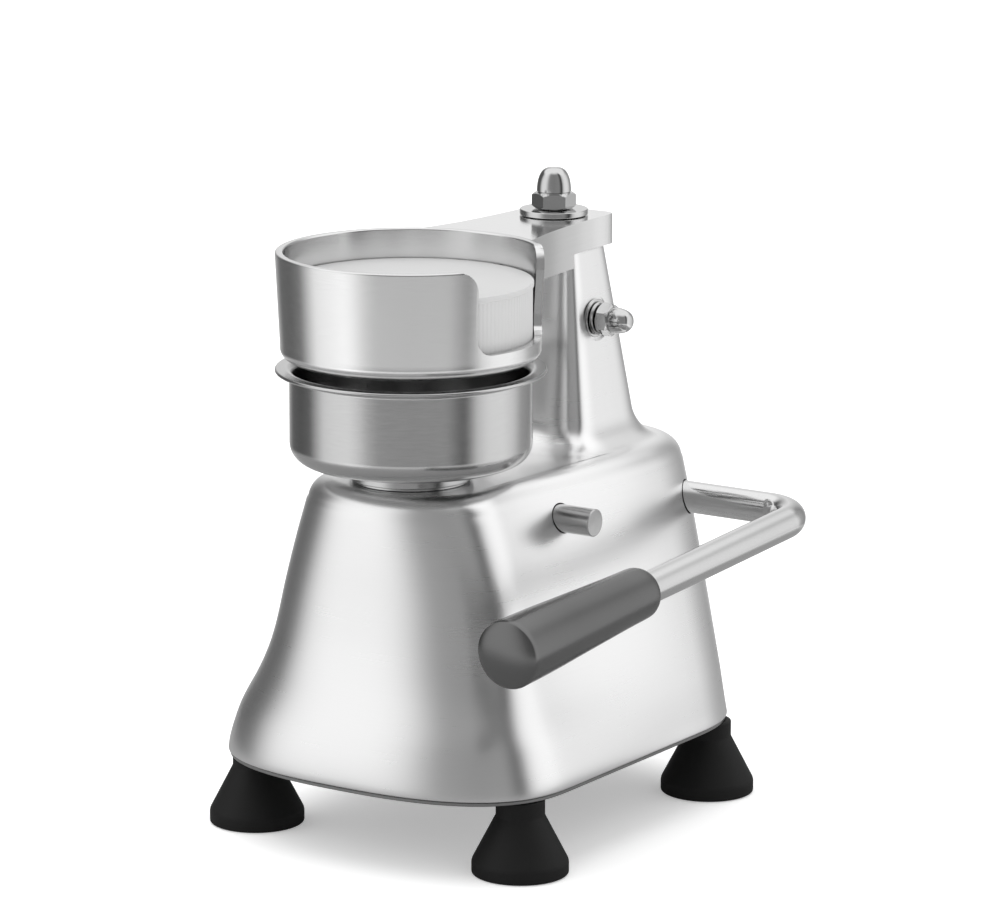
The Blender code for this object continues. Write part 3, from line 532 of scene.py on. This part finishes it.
def post_ring(height, spread_share=0.0, inset=0.0):
    """The post's section, spread at its foot by a share of the fillet or drawn in by an inset."""
    grow = (POST_TOP_Z - height) * POST_DRAFT - inset
    straight = 3  # half the straight part of each flank
    half_width = POST_HALF_WIDTH + grow + spread_share * POST_FILLET[0]
    ahead = POST_FRONT + grow + spread_share * POST_FILLET[1] - straight
    behind = POST_BACK + grow + spread_share * POST_FILLET[2] - straight
    power = 5.0 - 1.6 * spread_share
    front, rear = (half_width, ahead, power), (half_width, behind, power)
    return at(height, plan(front, rear, PIVOT_Y - straight, PIVOT_Y + straight))


def outside_rings():
    """The bell, its shoulder, the fillet round the post's foot, the post and its top edge."""
    lip = 0.8
    rings = []
    for rise, inset in ((0, lip), (lip * 0.3, lip * 0.3)):
        ovals = [shrunk(oval, inset) for oval in eased_sections(BASE_Z)]
        rings.append(at(BASE_Z + rise, plan(*ovals)))
    top = BODY_SECTIONS[-1][0]
    rows = 46
    for row in range(rows + 1):
        height = BASE_Z + lip + (top - BASE_Z - lip) * row / rows
        rings.append(at(height, plan(*eased_sections(height))))
    steps = 12
    for step in range(1, steps + 1):
        angle = pi / 2 * step / steps
        inward = SHOULDER_R * (1 - cos(angle))
        height = PLATFORM_Z - SHOULDER_R * (1 - sin(angle))
        rings.append(at(height, plan(shrunk(TOP_FRONT, inward), shrunk(TOP_REAR, inward))))
    for step in range(steps + 1):
        angle = pi / 2 * step / steps
        height = PLATFORM_Z + POST_FILLET_HEIGHT * (1 - cos(angle))
        rings.append(post_ring(height, 1 - sin(angle)))
    foot = PLATFORM_Z + POST_FILLET_HEIGHT
    rows = 16
    edge = 1.2
    for row in range(1, rows + 1):
        rings.append(post_ring(foot + (POST_TOP_Z - edge - foot) * row / rows))
    for step in range(1, 5):
        angle = pi / 2 * step / 4
        rings.append(post_ring(POST_TOP_Z - edge * (1 - sin(angle)), inset=edge * (1 - cos(angle))))
    return rings


def inside_rings():
    """The core: the inside of the bell, from its ceiling down, with a blind pocket up the post."""
    ceiling = PLATFORM_Z - CEILING
    rings = [post_ring(POST_CORE_TOP_Z, inset=POST_WALL), post_ring(ceiling, inset=POST_WALL)]
    rings.append(at(ceiling, plan(shrunk(TOP_FRONT, WALL + 4), shrunk(TOP_REAR, WALL + 4))))
    for height, *_ in BODY_SECTIONS[-2::-1]:
        rings.append(at(height, plan(*[shrunk(oval, WALL) for oval in eased_sections(height)])))
    return rings


def make_body():
    """One closed shell: up the outside to the post's top, and up the inside to the core's top."""
    bm = bmesh.new()
    rows = [[bm.verts.new(point) for point in ring] for ring in inside_rings() + outside_rings()]
    for lower, upper in zip(rows, rows[1:]):
        skin(bm, lower, upper)
    bm.faces.new(rows[0])
    bm.faces.new(rows[-1])
    body = start("body_shell", bm)
    at_bolt = (0, PIVOT_Y, CROSS_BOLT_Z)
    beyond = 95  # clear of the flanks on each side
    for turn in (ALONG_X, ALONG_MINUS_X):
        carve(body, bar(ROD_R + 0.5, 20, beyond), (0, SHAFT_Y, SHAFT_Z), turn)
        carve(body, bar(CROSS_BOLT_SEAT_R, SIDE_FACE_X, 60), at_bolt, turn)
    pin = middle("stop_pin")
    carve(body, bar(STOP_PIN_HOLE_R, 0, beyond), (0, pin.y, pin.z), ALONG_X)
    carve(body, bar(BUSH_HOLE_R, 140, 180))
    carve(body, bar(SPINDLE_HOLE_R, 190, 260), (0, PIVOT_Y, 0))
    carve(body, bar(CROSS_BOLT_HOLE_R, -60, 60), at_bolt, ALONG_X)
    done(body, CAST, "cast_aluminium", "frame", "body_casting", sharp_deg=38)


def make_base_plate():
    """The thin sheet that closes the body from below, drawn in a little from the casting's edge."""
    top = high("base_plate").z
    bottom = low("base_plate").z
    front, rear = BODY_SECTIONS[0][1:]
    edge = 0.25
    overhang = 0.9
    rings = []
    for height, inset in ((bottom, edge), (bottom + edge, 0), (top - edge, 0), (top, edge)):
        inset += overhang
        rings.append(at(height, plan(shrunk(front, inset), shrunk(rear, inset))))
    plate = start("base_plate_sheet", loft(rings))
    for name in FEET:
        spot = middle(f"foot_{name}")
        carve(plate, bar(FOOT_SCREW_HOLE_R, 20, 50), (spot.x, spot.y, 0))
    # Painted shade: the plate's darker steel stands for the shade under the casting.
    done(plate, PLATE_WITH_PAINTED_SHADE, "brushed_stainless", "frame", "base_plate")


def make_feet():
    """Rubber cones with a moulded rim, each with a screw up its middle from a counterbore."""
    for name in FEET:
        node = f"foot_{name}"
        spot = middle(node)
        radius = (high(node).x - low(node).x) / 2
        top = high(node).z
        bore = FOOT_SCREW_HOLE_R
        neck, neck_z = 10.5, 25.5
        sink, sink_z = 7.0, 14.3
        outline = rounded([
            (bore, top), (neck, top, 1.0), (neck, neck_z, 2.5), (radius - 0.3, 6.2, 2.0),
            (radius, 5.0, 0.8), (radius, 0, 1.0), (sink, 0, 0.5), (sink, sink_z), (bore, sink_z),
        ])
        foot = start(f"rubber_foot_{name}", turned(outline, 96), (spot.x, spot.y, 0))
        done(foot, RUBBER, "black_rubber", "frame", node)


# ------------------------------------------------------------ bowl and bush


def make_bowl():
    """The spun bowl: one sheet from its rolled flange down the wall and over the floor."""
    lip = 2.2
    corner = BOWL_CORNER_R
    inside = BOWL_R - BOWL_WALL
    floor = BOWL_FLOOR_Z
    top = BOWL_FLANGE_Z
    sheet = 1.6
    rod_hole = 6.5
    outline = [(rod_hole, floor)]
    outline += arc((BOWL_R - corner, floor + corner), corner, -90, 0, 14)
    outline += arc((BOWL_R + lip, top - sheet - lip), lip, 180, 90, 8)
    outline += arc((BOWL_FLANGE_R - sheet / 2, top - sheet / 2), sheet / 2, -90, 90, 8)
    outline += arc((inside + lip + sheet, top - lip - sheet), lip + sheet, 90, 180, 10)
    inner = corner - BOWL_WALL
    outline += arc((inside - inner, floor + BOWL_WALL + inner), inner, 0, -90, 12)
    outline += [(rod_hole, floor + BOWL_WALL)]
    bowl = start("spun_bowl", turned(outline, 192))
    done(bowl, STAINLESS, "brushed_stainless", "frame", "bowl")


def make_bush():
    """The turned guide bush under the bowl, whose flange stands on a narrower relief."""
    flange = (high("guide_bush").x - low("guide_bush").x) / 2
    top = high("guide_bush").z
    relief_z = PLATFORM_Z + 1.3
    seat_z = PLATFORM_Z + 0.3
    bottom = low("guide_bush").z
    bore, sleeve = 6.1, 12
    outline = rounded([
        (bore, top), (flange, top, 1.2), (flange, relief_z, 0.5), (flange - 1.5, relief_z),
        (flange - 1.5, seat_z), (sleeve, seat_z), (sleeve, bottom, 0.6), (bore, bottom),
    ])
    bush = start("turned_bush", turned(outline, 128))
    done(bush, STAINLESS, "brushed_stainless", "frame", "guide_bush")


def make_ejector_plate():
    """The disc that lifts the patty out: sunk for its screw, its edge turned to the bowl's corner."""
    top = high("ejector_plate").z
    bottom = low("ejector_plate").z
    edge_r = (high("ejector_plate").x - low("ejector_plate").x) / 2
    corner = BOWL_CORNER_R - BOWL_WALL
    flank = arc((BOWL_R - BOWL_CORNER_R, bottom + corner - 0.6), corner - 0.6, -90, 0, 10)
    outline = [(3.3, bottom), *flank, (edge_r, top - 0.6), (edge_r - 0.5, top)]
    outline += [(6.3, top), (3.3, top - 2.4)]
    plate = start("turned_ejector_plate", turned(outline, 160))
    done(plate, STAINLESS, "brushed_stainless", "ram", "ejector_plate")
    head = (0, 0, top - 0.1)
    screw = start("ejector_countersunk_screw", countersunk(5.9, 3.0, 2.2), head)
    socket = [(0, 1), (2.4, 1), (2.4, -1.5), (0, -1.5)]
    carve(screw, turned(socket, 6), head)
    done(screw, BRIGHT, "bright_steel", "ram", "ejector_screw")


def countersunk(head_r, shank_r, depth, length=14.0):
    """A countersunk screw whose head's top is at Z = 0, pointing down."""
    outline = [(0, -length), (shank_r - 0.5, -length), (shank_r, -length + 0.5)]
    outline += [(shank_r, -depth - 0.1), (head_r, -0.2), (head_r - 0.15, 0), (0, 0)]
    return turned(outline, 64)


# ------------------------------------------------------------ handle


def make_handle():
    """The rod is its own axle: its rear leg turns in the casting, and the bend carries it forward."""
    forward = Vector((0, -cos(DROOP), -sin(DROOP)))
    place = Vector((0, SHAFT_Y, SHAFT_Z))
    corner = Vector((HANDLE_X, 0, 0))
    bend = HANDLE_BEND_R
    centre = corner - Vector((bend, 0, 0)) + forward * bend
    path = [Vector((low("handle_rod").x, 0, 0))]
    turns = [pi / 2 * step / 24 for step in range(25)]
    path += [centre + Vector((bend * sin(a), 0, 0)) - forward * bend * cos(a) for a in turns]
    path.append(corner + forward * (GRIP_FRONT_REACH - GRIP_HOLE_DEPTH - 0.5))
    rod = start("polished_handle_rod", swept(path, ROD_R, 64), place)
    done(rod, ROD, "polished_rod", "handle", "handle_rod")

    spot = place + corner + forward * (GRIP_FRONT_REACH - GRIP_LENGTH)
    grip = start("moulded_grip", turned(grip_outline(), 128), spot, (pi / 2 + DROOP, 0, 0))
    done(grip, GRIP, "black_plastic", "handle", "handle_grip", sharp_deg=28)


def grip_outline():
    """The grip's profile: its crowned front end, its flank back to the narrow end, and its hole."""
    length = GRIP_LENGTH
    crown = 2.5
    span = 1.25  # the crown's arc in radians, drawn to fit the end's radius and the crown's height
    outline = []
    for step in range(11):
        angle = span * step / 10
        rise = crown * (cos(angle) - cos(span)) / (1 - cos(span))
        outline.append((GRIP_R * 0.97 * sin(angle) / sin(span), length - crown + rise))
    # How much narrower than GRIP_R the flank is, at a share of the length
    taper = [(0.15, 0.85), (0.6, 0.70), (1.25, 0.55), (2.0, 0.36), (2.7, 0.18)]
    flank = [(GRIP_R, length - crown - 0.9)]
    flank += [(GRIP_R - less, length * share) for less, share in taper]
    flank += [(GRIP_REAR_R + 0.75, 5.0), (GRIP_REAR_R + 0.35, 2.6)]
    flank += [(GRIP_REAR_R - 0.3, 0.9), (GRIP_REAR_R - 1.6, 0)]
    hole_r, hole_z = ROD_R + 0.3, length - GRIP_HOLE_DEPTH
    return outline + smoothed(flank) + [(hole_r, 0), (hole_r, hole_z), (0, hole_z)]


def smoothed(points, steps=4):
    """More points on a smooth curve through the given ones."""
    result = []
    for index in range(len(points) - 1):
        before, here, after, beyond = (Vector(point) for point in neighbours(points, index))
        for step in range(steps):
            t = step / steps
            bend = (2 * before - 5 * here + 4 * after - beyond) * t * t
            twist = (3 * here - before - 3 * after + beyond) * t**3
            result.append(tuple((2 * here + (after - before) * t + bend + twist) / 2))
    return result + [points[-1]]


def make_stop_pin():
    left, right = low("stop_pin"), high("stop_pin")
    radius = (right.z - left.z) / 2
    outline = rounded([(0, left.x), (radius, left.x, 0.5), (radius, right.x, 0.45), (0, right.x)])
    place = (0, middle("stop_pin").y, middle("stop_pin").z)
    pin = start("turned_stop_pin", turned(outline, 96), place, ALONG_X)
    done(pin, PIN, "bright_steel", "frame", "stop_pin", sharp_deg=25)


# ------------------------------------------------------------ post head, arm, cup and paper


def acorn_nut(name, node, size, place, turn, height):
    """A hexagon with its corners turned off, and a dome over a blind thread. Its Z = 0 is its seat."""
    across_flats, hex_height, dome_r, thread_r = size
    flat = across_flats / 2
    corner = flat / cos(pi / 6)
    hexagon = turned([(0, 0), (corner, 0), (corner, hex_height), (0, hex_height)], 6)
    nut = start(name, hexagon, place, turn)
    chamfer = hex_height * 0.2
    cone = [(0, -1), (flat - 0.2, -1), (flat - 0.2, 0), (corner + 0.3, chamfer)]
    cone += [(corner + 0.3, hex_height - chamfer), (flat - 0.4, hex_height), (0, hex_height)]
    carve(nut, turned(cone, 96), place, turn, "INTERSECT")
    groove = 0.35
    foot = hex_height + 0.6
    dome = [(0, 1), (dome_r - groove, 1), (dome_r - groove, hex_height + 0.2), (dome_r, foot)]
    for step in range(1, 19):
        angle = pi / 2 * step / 18
        dome.append((dome_r * cos(angle) ** 0.6, foot + (height - foot) * sin(angle)))
    dome[-1] = (0, height)
    carve(nut, turned(dome, 96), place, turn, "UNION")
    carve(nut, bar(thread_r + 0.3, -2, height - dome_r * 0.62, 48), place, turn)
    done(nut, BRIGHT, "bright_steel", "frame", node, edge=0.18, sharp_deg=24)


def washer(name, node, bore, radius, thickness, place, turn, edge=0.3):
    outline = rounded([(bore, 0), (radius, 0, edge), (radius, thickness, edge), (bore, thickness)], 3)
    ring = start(name, turned(outline, 96), place, turn)
    done(ring, BRIGHT, "bright_steel", "frame", node)


def make_spring_washer():
    """A split ring whose two ends stand a little apart along the bolt."""
    place = (low("side_spring_washer").x, PIVOT_Y, CROSS_BOLT_Z)
    inner, outer, thickness, lead = 4.3, 7.4, 1.6, 0.4
    gap = radians(9)
    steps = 72
    bm = bmesh.new()
    rows = []
    for step in range(steps + 1):
        share = step / steps
        angle = gap / 2 + (2 * pi - gap) * share + radians(110)
        rise = lead * share
        ring = [(inner, rise), (outer, rise), (outer, rise + thickness), (inner, rise + thickness)]
        rows.append([bm.verts.new((r * cos(angle), r * sin(angle), z)) for r, z in ring])
    for first, second in zip(rows, rows[1:]):
        skin(bm, first, second)
    bm.faces.new(rows[0])
    bm.faces.new(rows[-1])
    ring = start("split_washer", bm, place, ALONG_X)
    done(ring, BRIGHT, "bright_steel", "frame", "side_spring_washer", edge=0.15)


def make_cross_bolt():
    """The bolt that clamps the spindle: its head is on the left, its nut on the right."""
    seat = SIDE_FACE_X + 0.3
    top = seat + 5.3
    flat = SIDE_NUT[0] / 2
    corner = flat / cos(pi / 6)
    place = (0, PIVOT_Y, CROSS_BOLT_Z)
    reach = high("cross_bolt").x
    shank = rounded([(0, -seat - 2), (4, -seat - 2), (4, reach, 0.8), (0, reach)])
    bolt = start("cross_bolt_with_head", turned(shank, 64), place, ALONG_X)
    hexagon = turned([(0, seat), (corner, seat), (corner, top), (0, top)], 6)
    head = start("head", hexagon, place, ALONG_MINUS_X)
    cone = [(0, seat - 1), (corner + 1, seat - 1), (corner + 1, top - 1.2), (flat - 0.2, top), (0, top)]
    carve(head, turned(cone, 96), place, ALONG_MINUS_X, "INTERSECT")
    combine(bolt, head, "UNION")
    done(bolt, BRIGHT, "bright_steel", "frame", "cross_bolt", edge=0.15, sharp_deg=24)


def make_post_head():
    """The washers and domed nuts on the arm's pivot and on the cross bolt."""
    upright = (0, 0, 0)
    seat = (0, PIVOT_Y, ARM_TOP_Z + 0.3)
    washer("top_flat_washer", "top_washer", 5.3, 15.1, 2.5, seat, upright, 0.45)
    nut = (0, PIVOT_Y, low("top_acorn_nut").z)
    height = high("top_acorn_nut").z - low("top_acorn_nut").z
    acorn_nut("top_domed_nut", "top_acorn_nut", TOP_NUT, nut, (0, 0, NUT_TURN), height)
    seat = (low("side_washer").x, PIVOT_Y, CROSS_BOLT_Z)
    washer("side_flat_washer", "side_washer", 4.3, 8.5, 1.6, seat, ALONG_X)
    make_spring_washer()
    nut = (low("side_acorn_nut").x, PIVOT_Y, CROSS_BOLT_Z)
    length = high("side_acorn_nut").x - low("side_acorn_nut").x
    acorn_nut("side_domed_nut", "side_acorn_nut", SIDE_NUT, nut, ALONG_X, length)
    make_cross_bolt()


def make_arm():
    """The arm from the pivot to the cup's wall, stepped thinner where it turns over the post."""
    right = [(half, -ahead) for ahead, half in smoothed(ARM_EDGE, 5)]
    outline = right + [(-x, y) for x, y in reversed(right)]
    rings = [at(z, outline) for z in (ARM_FRONT_Z, ARM_TOP_Z)]
    place = (0, PIVOT_Y, 0)
    arm = start("cast_arm", loft(rings), place)
    carve(arm, bar(ARM_STEP_R, ARM_FRONT_Z - 5, ARM_REAR_Z, 128), place)
    carve(arm, bar(CUP_RIM_R + 0.3, 200, 300, 192))
    carve(arm, bar(10.3, 200, 300), place)
    done(arm, ARM_METAL, "cast_aluminium", "arm", "swing_arm", edge=0.7, sharp_deg=40)


def make_cup():
    """The cup that holds the paper: turned from thick sheet, with a window for taking a disc."""
    corner = 5.0
    rim = 0.8
    wall = CUP_WALL
    outline = [(0, CUP_FLOOR_Z)]
    outline += arc((CUP_BOTTOM_R - corner, CUP_FLOOR_Z + corner), corner, -90, 0, 10)
    outline += rounded([
        (CUP_BOTTOM_R, CUP_FLOOR_Z + corner + 2), (CUP_RIM_R, CUP_RIM_Z, rim),
        (CUP_RIM_R - wall, CUP_RIM_Z, rim), (CUP_BOTTOM_R - wall, CUP_FLOOR_Z + corner + 2),
    ])
    outline += arc((CUP_BOTTOM_R - corner, CUP_FLOOR_Z + corner + 0.5), corner - wall, 0, -90, 6)
    outline += [(0, CUP_FLOOR_Z + wall + 0.5)]
    cup = start("window_cup", turned(outline, 240))
    carve(cup, window_shape())
    for side in (-1, 1):
        lean = (radians(-90), 0, radians(-12 * side))
        carve(cup, bar(2.3, 48, 66, 32), (0, 0, 243), lean)
    done(cup, CUP_STEEL, "brushed_stainless", "arm", "upper_cup", edge=0.45, sharp_deg=40)


def window_shape():
    """The window as a solid: an outline on the unrolled wall, with all four corners rounded, wrapped
    round the cup's axis and pushed through the wall."""
    scale = CUP_RIM_R
    left, right = WINDOW_FROM * scale, WINDOW_TO * scale
    sill, corner, shoulder = WINDOW_SILL_Z, WINDOW_CORNER_R, WINDOW_SHOULDER_R
    top = CUP_RIM_Z
    end = right + shoulder + 2
    across = right - left + 2 * shoulder + 4
    outline = arc((left + corner, sill + corner), corner, 180, 270, 8)
    outline += [(left + (right - left) * share / 12, sill) for share in range(3, 10)]
    outline += arc((right - corner, sill + corner), corner, 270, 360, 8)
    outline += arc((right + shoulder, top - shoulder), shoulder, 180, 90, 10)
    outline += [(end, top), (end, top + 4)]
    outline += [(end - across * share / 24, top + 4) for share in range(1, 25)]
    outline += [(left - shoulder - 2, top)]
    outline += arc((left - shoulder, top - shoulder), shoulder, 90, 0, 10)
    bm = bmesh.new()
    rows = []
    for r in (30.0, 120.0):
        rows.append([bm.verts.new((r * cos(s / scale), r * sin(s / scale), z)) for s, z in outline])
    skin(bm, rows[0], rows[1])
    bmesh.ops.triangulate(bm, faces=[bm.faces.new(rows[0]), bm.faces.new(rows[1])])
    return bm


def make_paper():
    """The stack of waxed discs: the top ones stand a little proud, and the edge shows fine ribs."""
    floor = low("paper_stack").z
    top = high("paper_stack").z
    radius = (high("paper_stack").x - low("paper_stack").x) / 2
    ribs = 150

    def ripple(angle, height):
        return 0.07 * cos(angle * ribs) if floor + 2 < height < top - 3 else 0.0

    side = radius - 0.6
    outline = [(0, floor), (radius - 1.8, floor), (side, floor + 1.2), (side, floor + 3)]
    outline += [(side, top - 3.4), (radius - 0.45, top - 2.5), (radius, top - 2.2)]
    outline += [(radius, top - 0.5), (radius - 0.3, top - 0.1), (radius - 0.8, top), (0, top)]
    stack = start("paper_disc_stack", turned(outline, 900, ripple))
    done(stack, PAPER, "paper", "arm", "paper_stack")


# ------------------------------------------------------------ CAD nodes that stay, mostly inside


def refinish(look, *nodes):
    for node in nodes:
        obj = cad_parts[node]
        obj.data.materials.clear()
        obj.data.materials.append(look)


make_body()
make_base_plate()
make_feet()
make_bowl()
make_bush()
make_ejector_plate()
make_handle()
make_stop_pin()
make_post_head()
make_arm()
make_cup()
make_paper()

refinish(CAST, "lift_lever")
refinish(BRONZE, "shaft_bush_left", "shaft_bush_right", "arm_bush")
refinish(BRIGHT, "bush_nut", "ram_rod", "lever_set_screw", "pivot_spindle")
refinish(BRIGHT, "lift_pin", "lift_pin_clip_left", "lift_pin_clip_right")
refinish(BRIGHT, "cup_screw_left", "cup_screw_right", "bowl_screw_1", "bowl_screw_2", "bowl_screw_3")
refinish(BRIGHT, *[f"foot_screw_{name}" for name in FEET])


# ------------------------------------------------------------ camera, floor and lights

CAMERA_SPOT = Vector((1.2045, -1.8047, 0.6435))
CAMERA_AIM = Vector((-0.0586, 0.0953, 0.1387))
CAMERA_ROLL = radians(0.15)
CAMERA_LENS = 185.87


def make_camera():
    data = bpy.data.cameras.new("camera")
    data.lens = CAMERA_LENS
    data.clip_end = 30.0
    camera = bpy.data.objects.new("camera", data)
    camera.location = CAMERA_SPOT
    look_to = (CAMERA_AIM - CAMERA_SPOT).to_track_quat("-Z", "Y")
    camera.rotation_euler = (look_to.to_matrix() @ Matrix.Rotation(CAMERA_ROLL, 3, "Z")).to_euler()
    bpy.context.scene.collection.objects.link(camera)
    bpy.context.scene.camera = camera


TABLE_R = 0.42  # beyond this the table isn't there for reflections, as in a studio where it ends
FLOOR_WHITE = 0.9
FLOOR_SHADE_IN_MIRRORS = 0.30  # painted shade: mirror rays see the floor this dark grey, standing for the table shaded round the press
FLOOR_GLOW = 0.34  # lifts the floor to the background's white


def make_floor():
    bm = bmesh.new()
    bmesh.ops.create_grid(bm, x_segments=4, y_segments=4, size=8.0)
    mesh = bpy.data.meshes.new("floor")
    bm.to_mesh(mesh)
    bm.free()
    floor = bpy.data.objects.new("floor", mesh)
    floor.location.z = -0.0002
    bpy.context.scene.collection.objects.link(floor)
    made, tree, place, shader = new_look("floor_white_with_mirrored_shade")
    mirror = mirror_ray(tree)
    # Painted shade: the floor is white to the camera but dark grey in the press's mirror rays, as if shaded
    # round it.
    tone(tree, shader, mirror, FLOOR_WHITE, FLOOR_SHADE_IN_MIRRORS)
    shader.inputs["Emission Color"].default_value = (1, 1, 1, 1)
    tree.links.new(blend(tree, mirror, FLOOR_GLOW, 0.0), shader.inputs["Emission Strength"])
    shader.inputs["Roughness"].default_value = 0.9
    shader.inputs["Specular IOR Level"].default_value = 0.1
    end_the_table(tree, place, shader)
    mesh.materials.append(made)


def mirror_ray(tree):
    return tree.nodes.new("ShaderNodeLightPath").outputs["Is Glossy Ray"]


def end_the_table(tree, place, shader):
    """Lets mirror rays pass the floor beyond the table's edge."""
    reach = tree.nodes.new("ShaderNodeVectorMath")
    reach.operation = "LENGTH"
    tree.links.new(place, reach.inputs[0])
    away = eased(tree, reach.outputs["Value"], TABLE_R * 0.8, TABLE_R * 1.3)
    share = maths(tree, "MULTIPLY", away, mirror_ray(tree))
    clear = add_node(tree, "ShaderNodeBsdfTransparent", {})
    mixed = add_node(tree, "ShaderNodeMixShader", {0: share, 1: shader.outputs[0], 2: clear})
    tree.links.new(mixed, tree.nodes["Material Output"].inputs["Surface"])


# What stands round the press in the studio, as seen in it: degrees round from the camera's side, and
# brightness. Two tall soft boxes left and right, and dark gaps between them and the camera.
STUDIO = [
    (-180, 0.85), (-160, 0.36), (-148, 0.14), (-126, 0.10), (-110, 0.14), (-100, 0.50), (-90, 0.90),
    (-76, 1.0), (-60, 0.98), (-50, 0.78), (-40, 0.46), (-30, 0.29), (0, 0.26), (34, 0.29), (43, 0.16),
    (52, 0.03), (58, 0.22), (66, 0.72), (78, 1.0), (98, 1.04), (114, 0.84), (128, 0.45), (150, 0.3),
    (180, 0.85),
]
EVEN_LIGHT = 0.85
ROOF = 1.1
ROOF_EASE = (26, 44)  # degrees above the horizon over which the studio gives way to the roof
ROOF_RAISED = 0.3  # how much higher the roof starts on the camera's side
TABLE_EASE = (14, 20)  # degrees below the horizon over which it gives way to the pale floor
# The pale floor's shares: of what stands round it, of white, and of extra white near the camera
TABLE_PALE = (0.82, 0.3, 0.42)


def make_world():
    """Mirror rays see the studio, a bright roof over it and a pale floor under it; others an even light."""
    world = bpy.data.worlds.new("studio")
    world.use_nodes = True
    tree = world.node_tree
    background = tree.nodes["Background"]
    place = tree.nodes.new("ShaderNodeTexCoord").outputs["Generated"]
    split = tree.nodes.new("ShaderNodeSeparateXYZ")
    tree.links.new(place, split.inputs[0])
    x, y, z = split.outputs
    toward = CAMERA_SPOT - CAMERA_AIM
    angle = maths(tree, "SUBTRACT", maths(tree, "ARCTAN2", y, x), atan2(toward.y, toward.x))
    around = studio_ramp(tree, angle)
    camera_side = eased(tree, maths(tree, "COSINE", angle), 0.2, 0.6)
    raised = maths(tree, "SUBTRACT", z, maths(tree, "MULTIPLY", camera_side, ROOF_RAISED))
    roof = eased(tree, raised, *[sin(radians(degrees)) for degrees in ROOF_EASE])
    down = maths(tree, "MULTIPLY", z, -1.0)
    under = eased(tree, down, *[sin(radians(degrees)) for degrees in TABLE_EASE])
    shown, white, near = TABLE_PALE
    near_table = maths(tree, "ADD", maths(tree, "MULTIPLY", camera_side, near), white)
    pale = maths(tree, "ADD", maths(tree, "MULTIPLY", around, shown), near_table)
    level = blend(tree, roof, blend(tree, under, around, pale), ROOF)
    tree.links.new(blend(tree, mirror_ray(tree), EVEN_LIGHT, level), background.inputs["Color"])
    bpy.context.scene.world = world


def studio_ramp(tree, angle):
    """The brightness in STUDIO at an angle round from the camera's side."""
    turns = maths(tree, "ADD", maths(tree, "DIVIDE", angle, 2 * pi), 1.5)
    ramp = tree.nodes.new("ShaderNodeValToRGB")
    tree.links.new(maths(tree, "FRACT", turns), ramp.inputs[0])
    stops = ramp.color_ramp.elements
    while len(stops) < len(STUDIO):
        stops.new(0.5)
    for stop, (degrees, level) in zip(stops, STUDIO):
        stop.position = (degrees + 180) / 360
        stop.color = (level, level, level, 1)
    return add_node(tree, "ShaderNodeRGBToBW", {0: ramp.outputs[0]})


def eased(tree, value, start_at, end_at):
    """Rises smoothly from 0 to 1 between two values."""
    inputs = {"Value": value, "From Min": start_at, "From Max": end_at}
    return add_node(tree, "ShaderNodeMapRange", inputs, interpolation_type="SMOOTHSTEP")


def make_sun(name, spot, strength, softness_deg):
    """A broad, even lamp: a sun's light doesn't fall off across the table."""
    data = bpy.data.lights.new(name, "SUN")
    data.energy = strength
    data.angle = radians(softness_deg)
    lamp = bpy.data.objects.new(name, data)
    lamp.rotation_euler = Vector(spot).to_track_quat("Z", "Y").to_euler()
    lamp.visible_glossy = False
    bpy.context.scene.collection.objects.link(lamp)


make_camera()
make_floor()
make_world()
make_sun("top_light", (-0.3, 0.4, 2.0), 1.1, 70)
make_sun("left_light", (-1.6, -1.0, 1.6), 0.4, 50)
bpy.context.scene.view_settings.view_transform = "Standard"
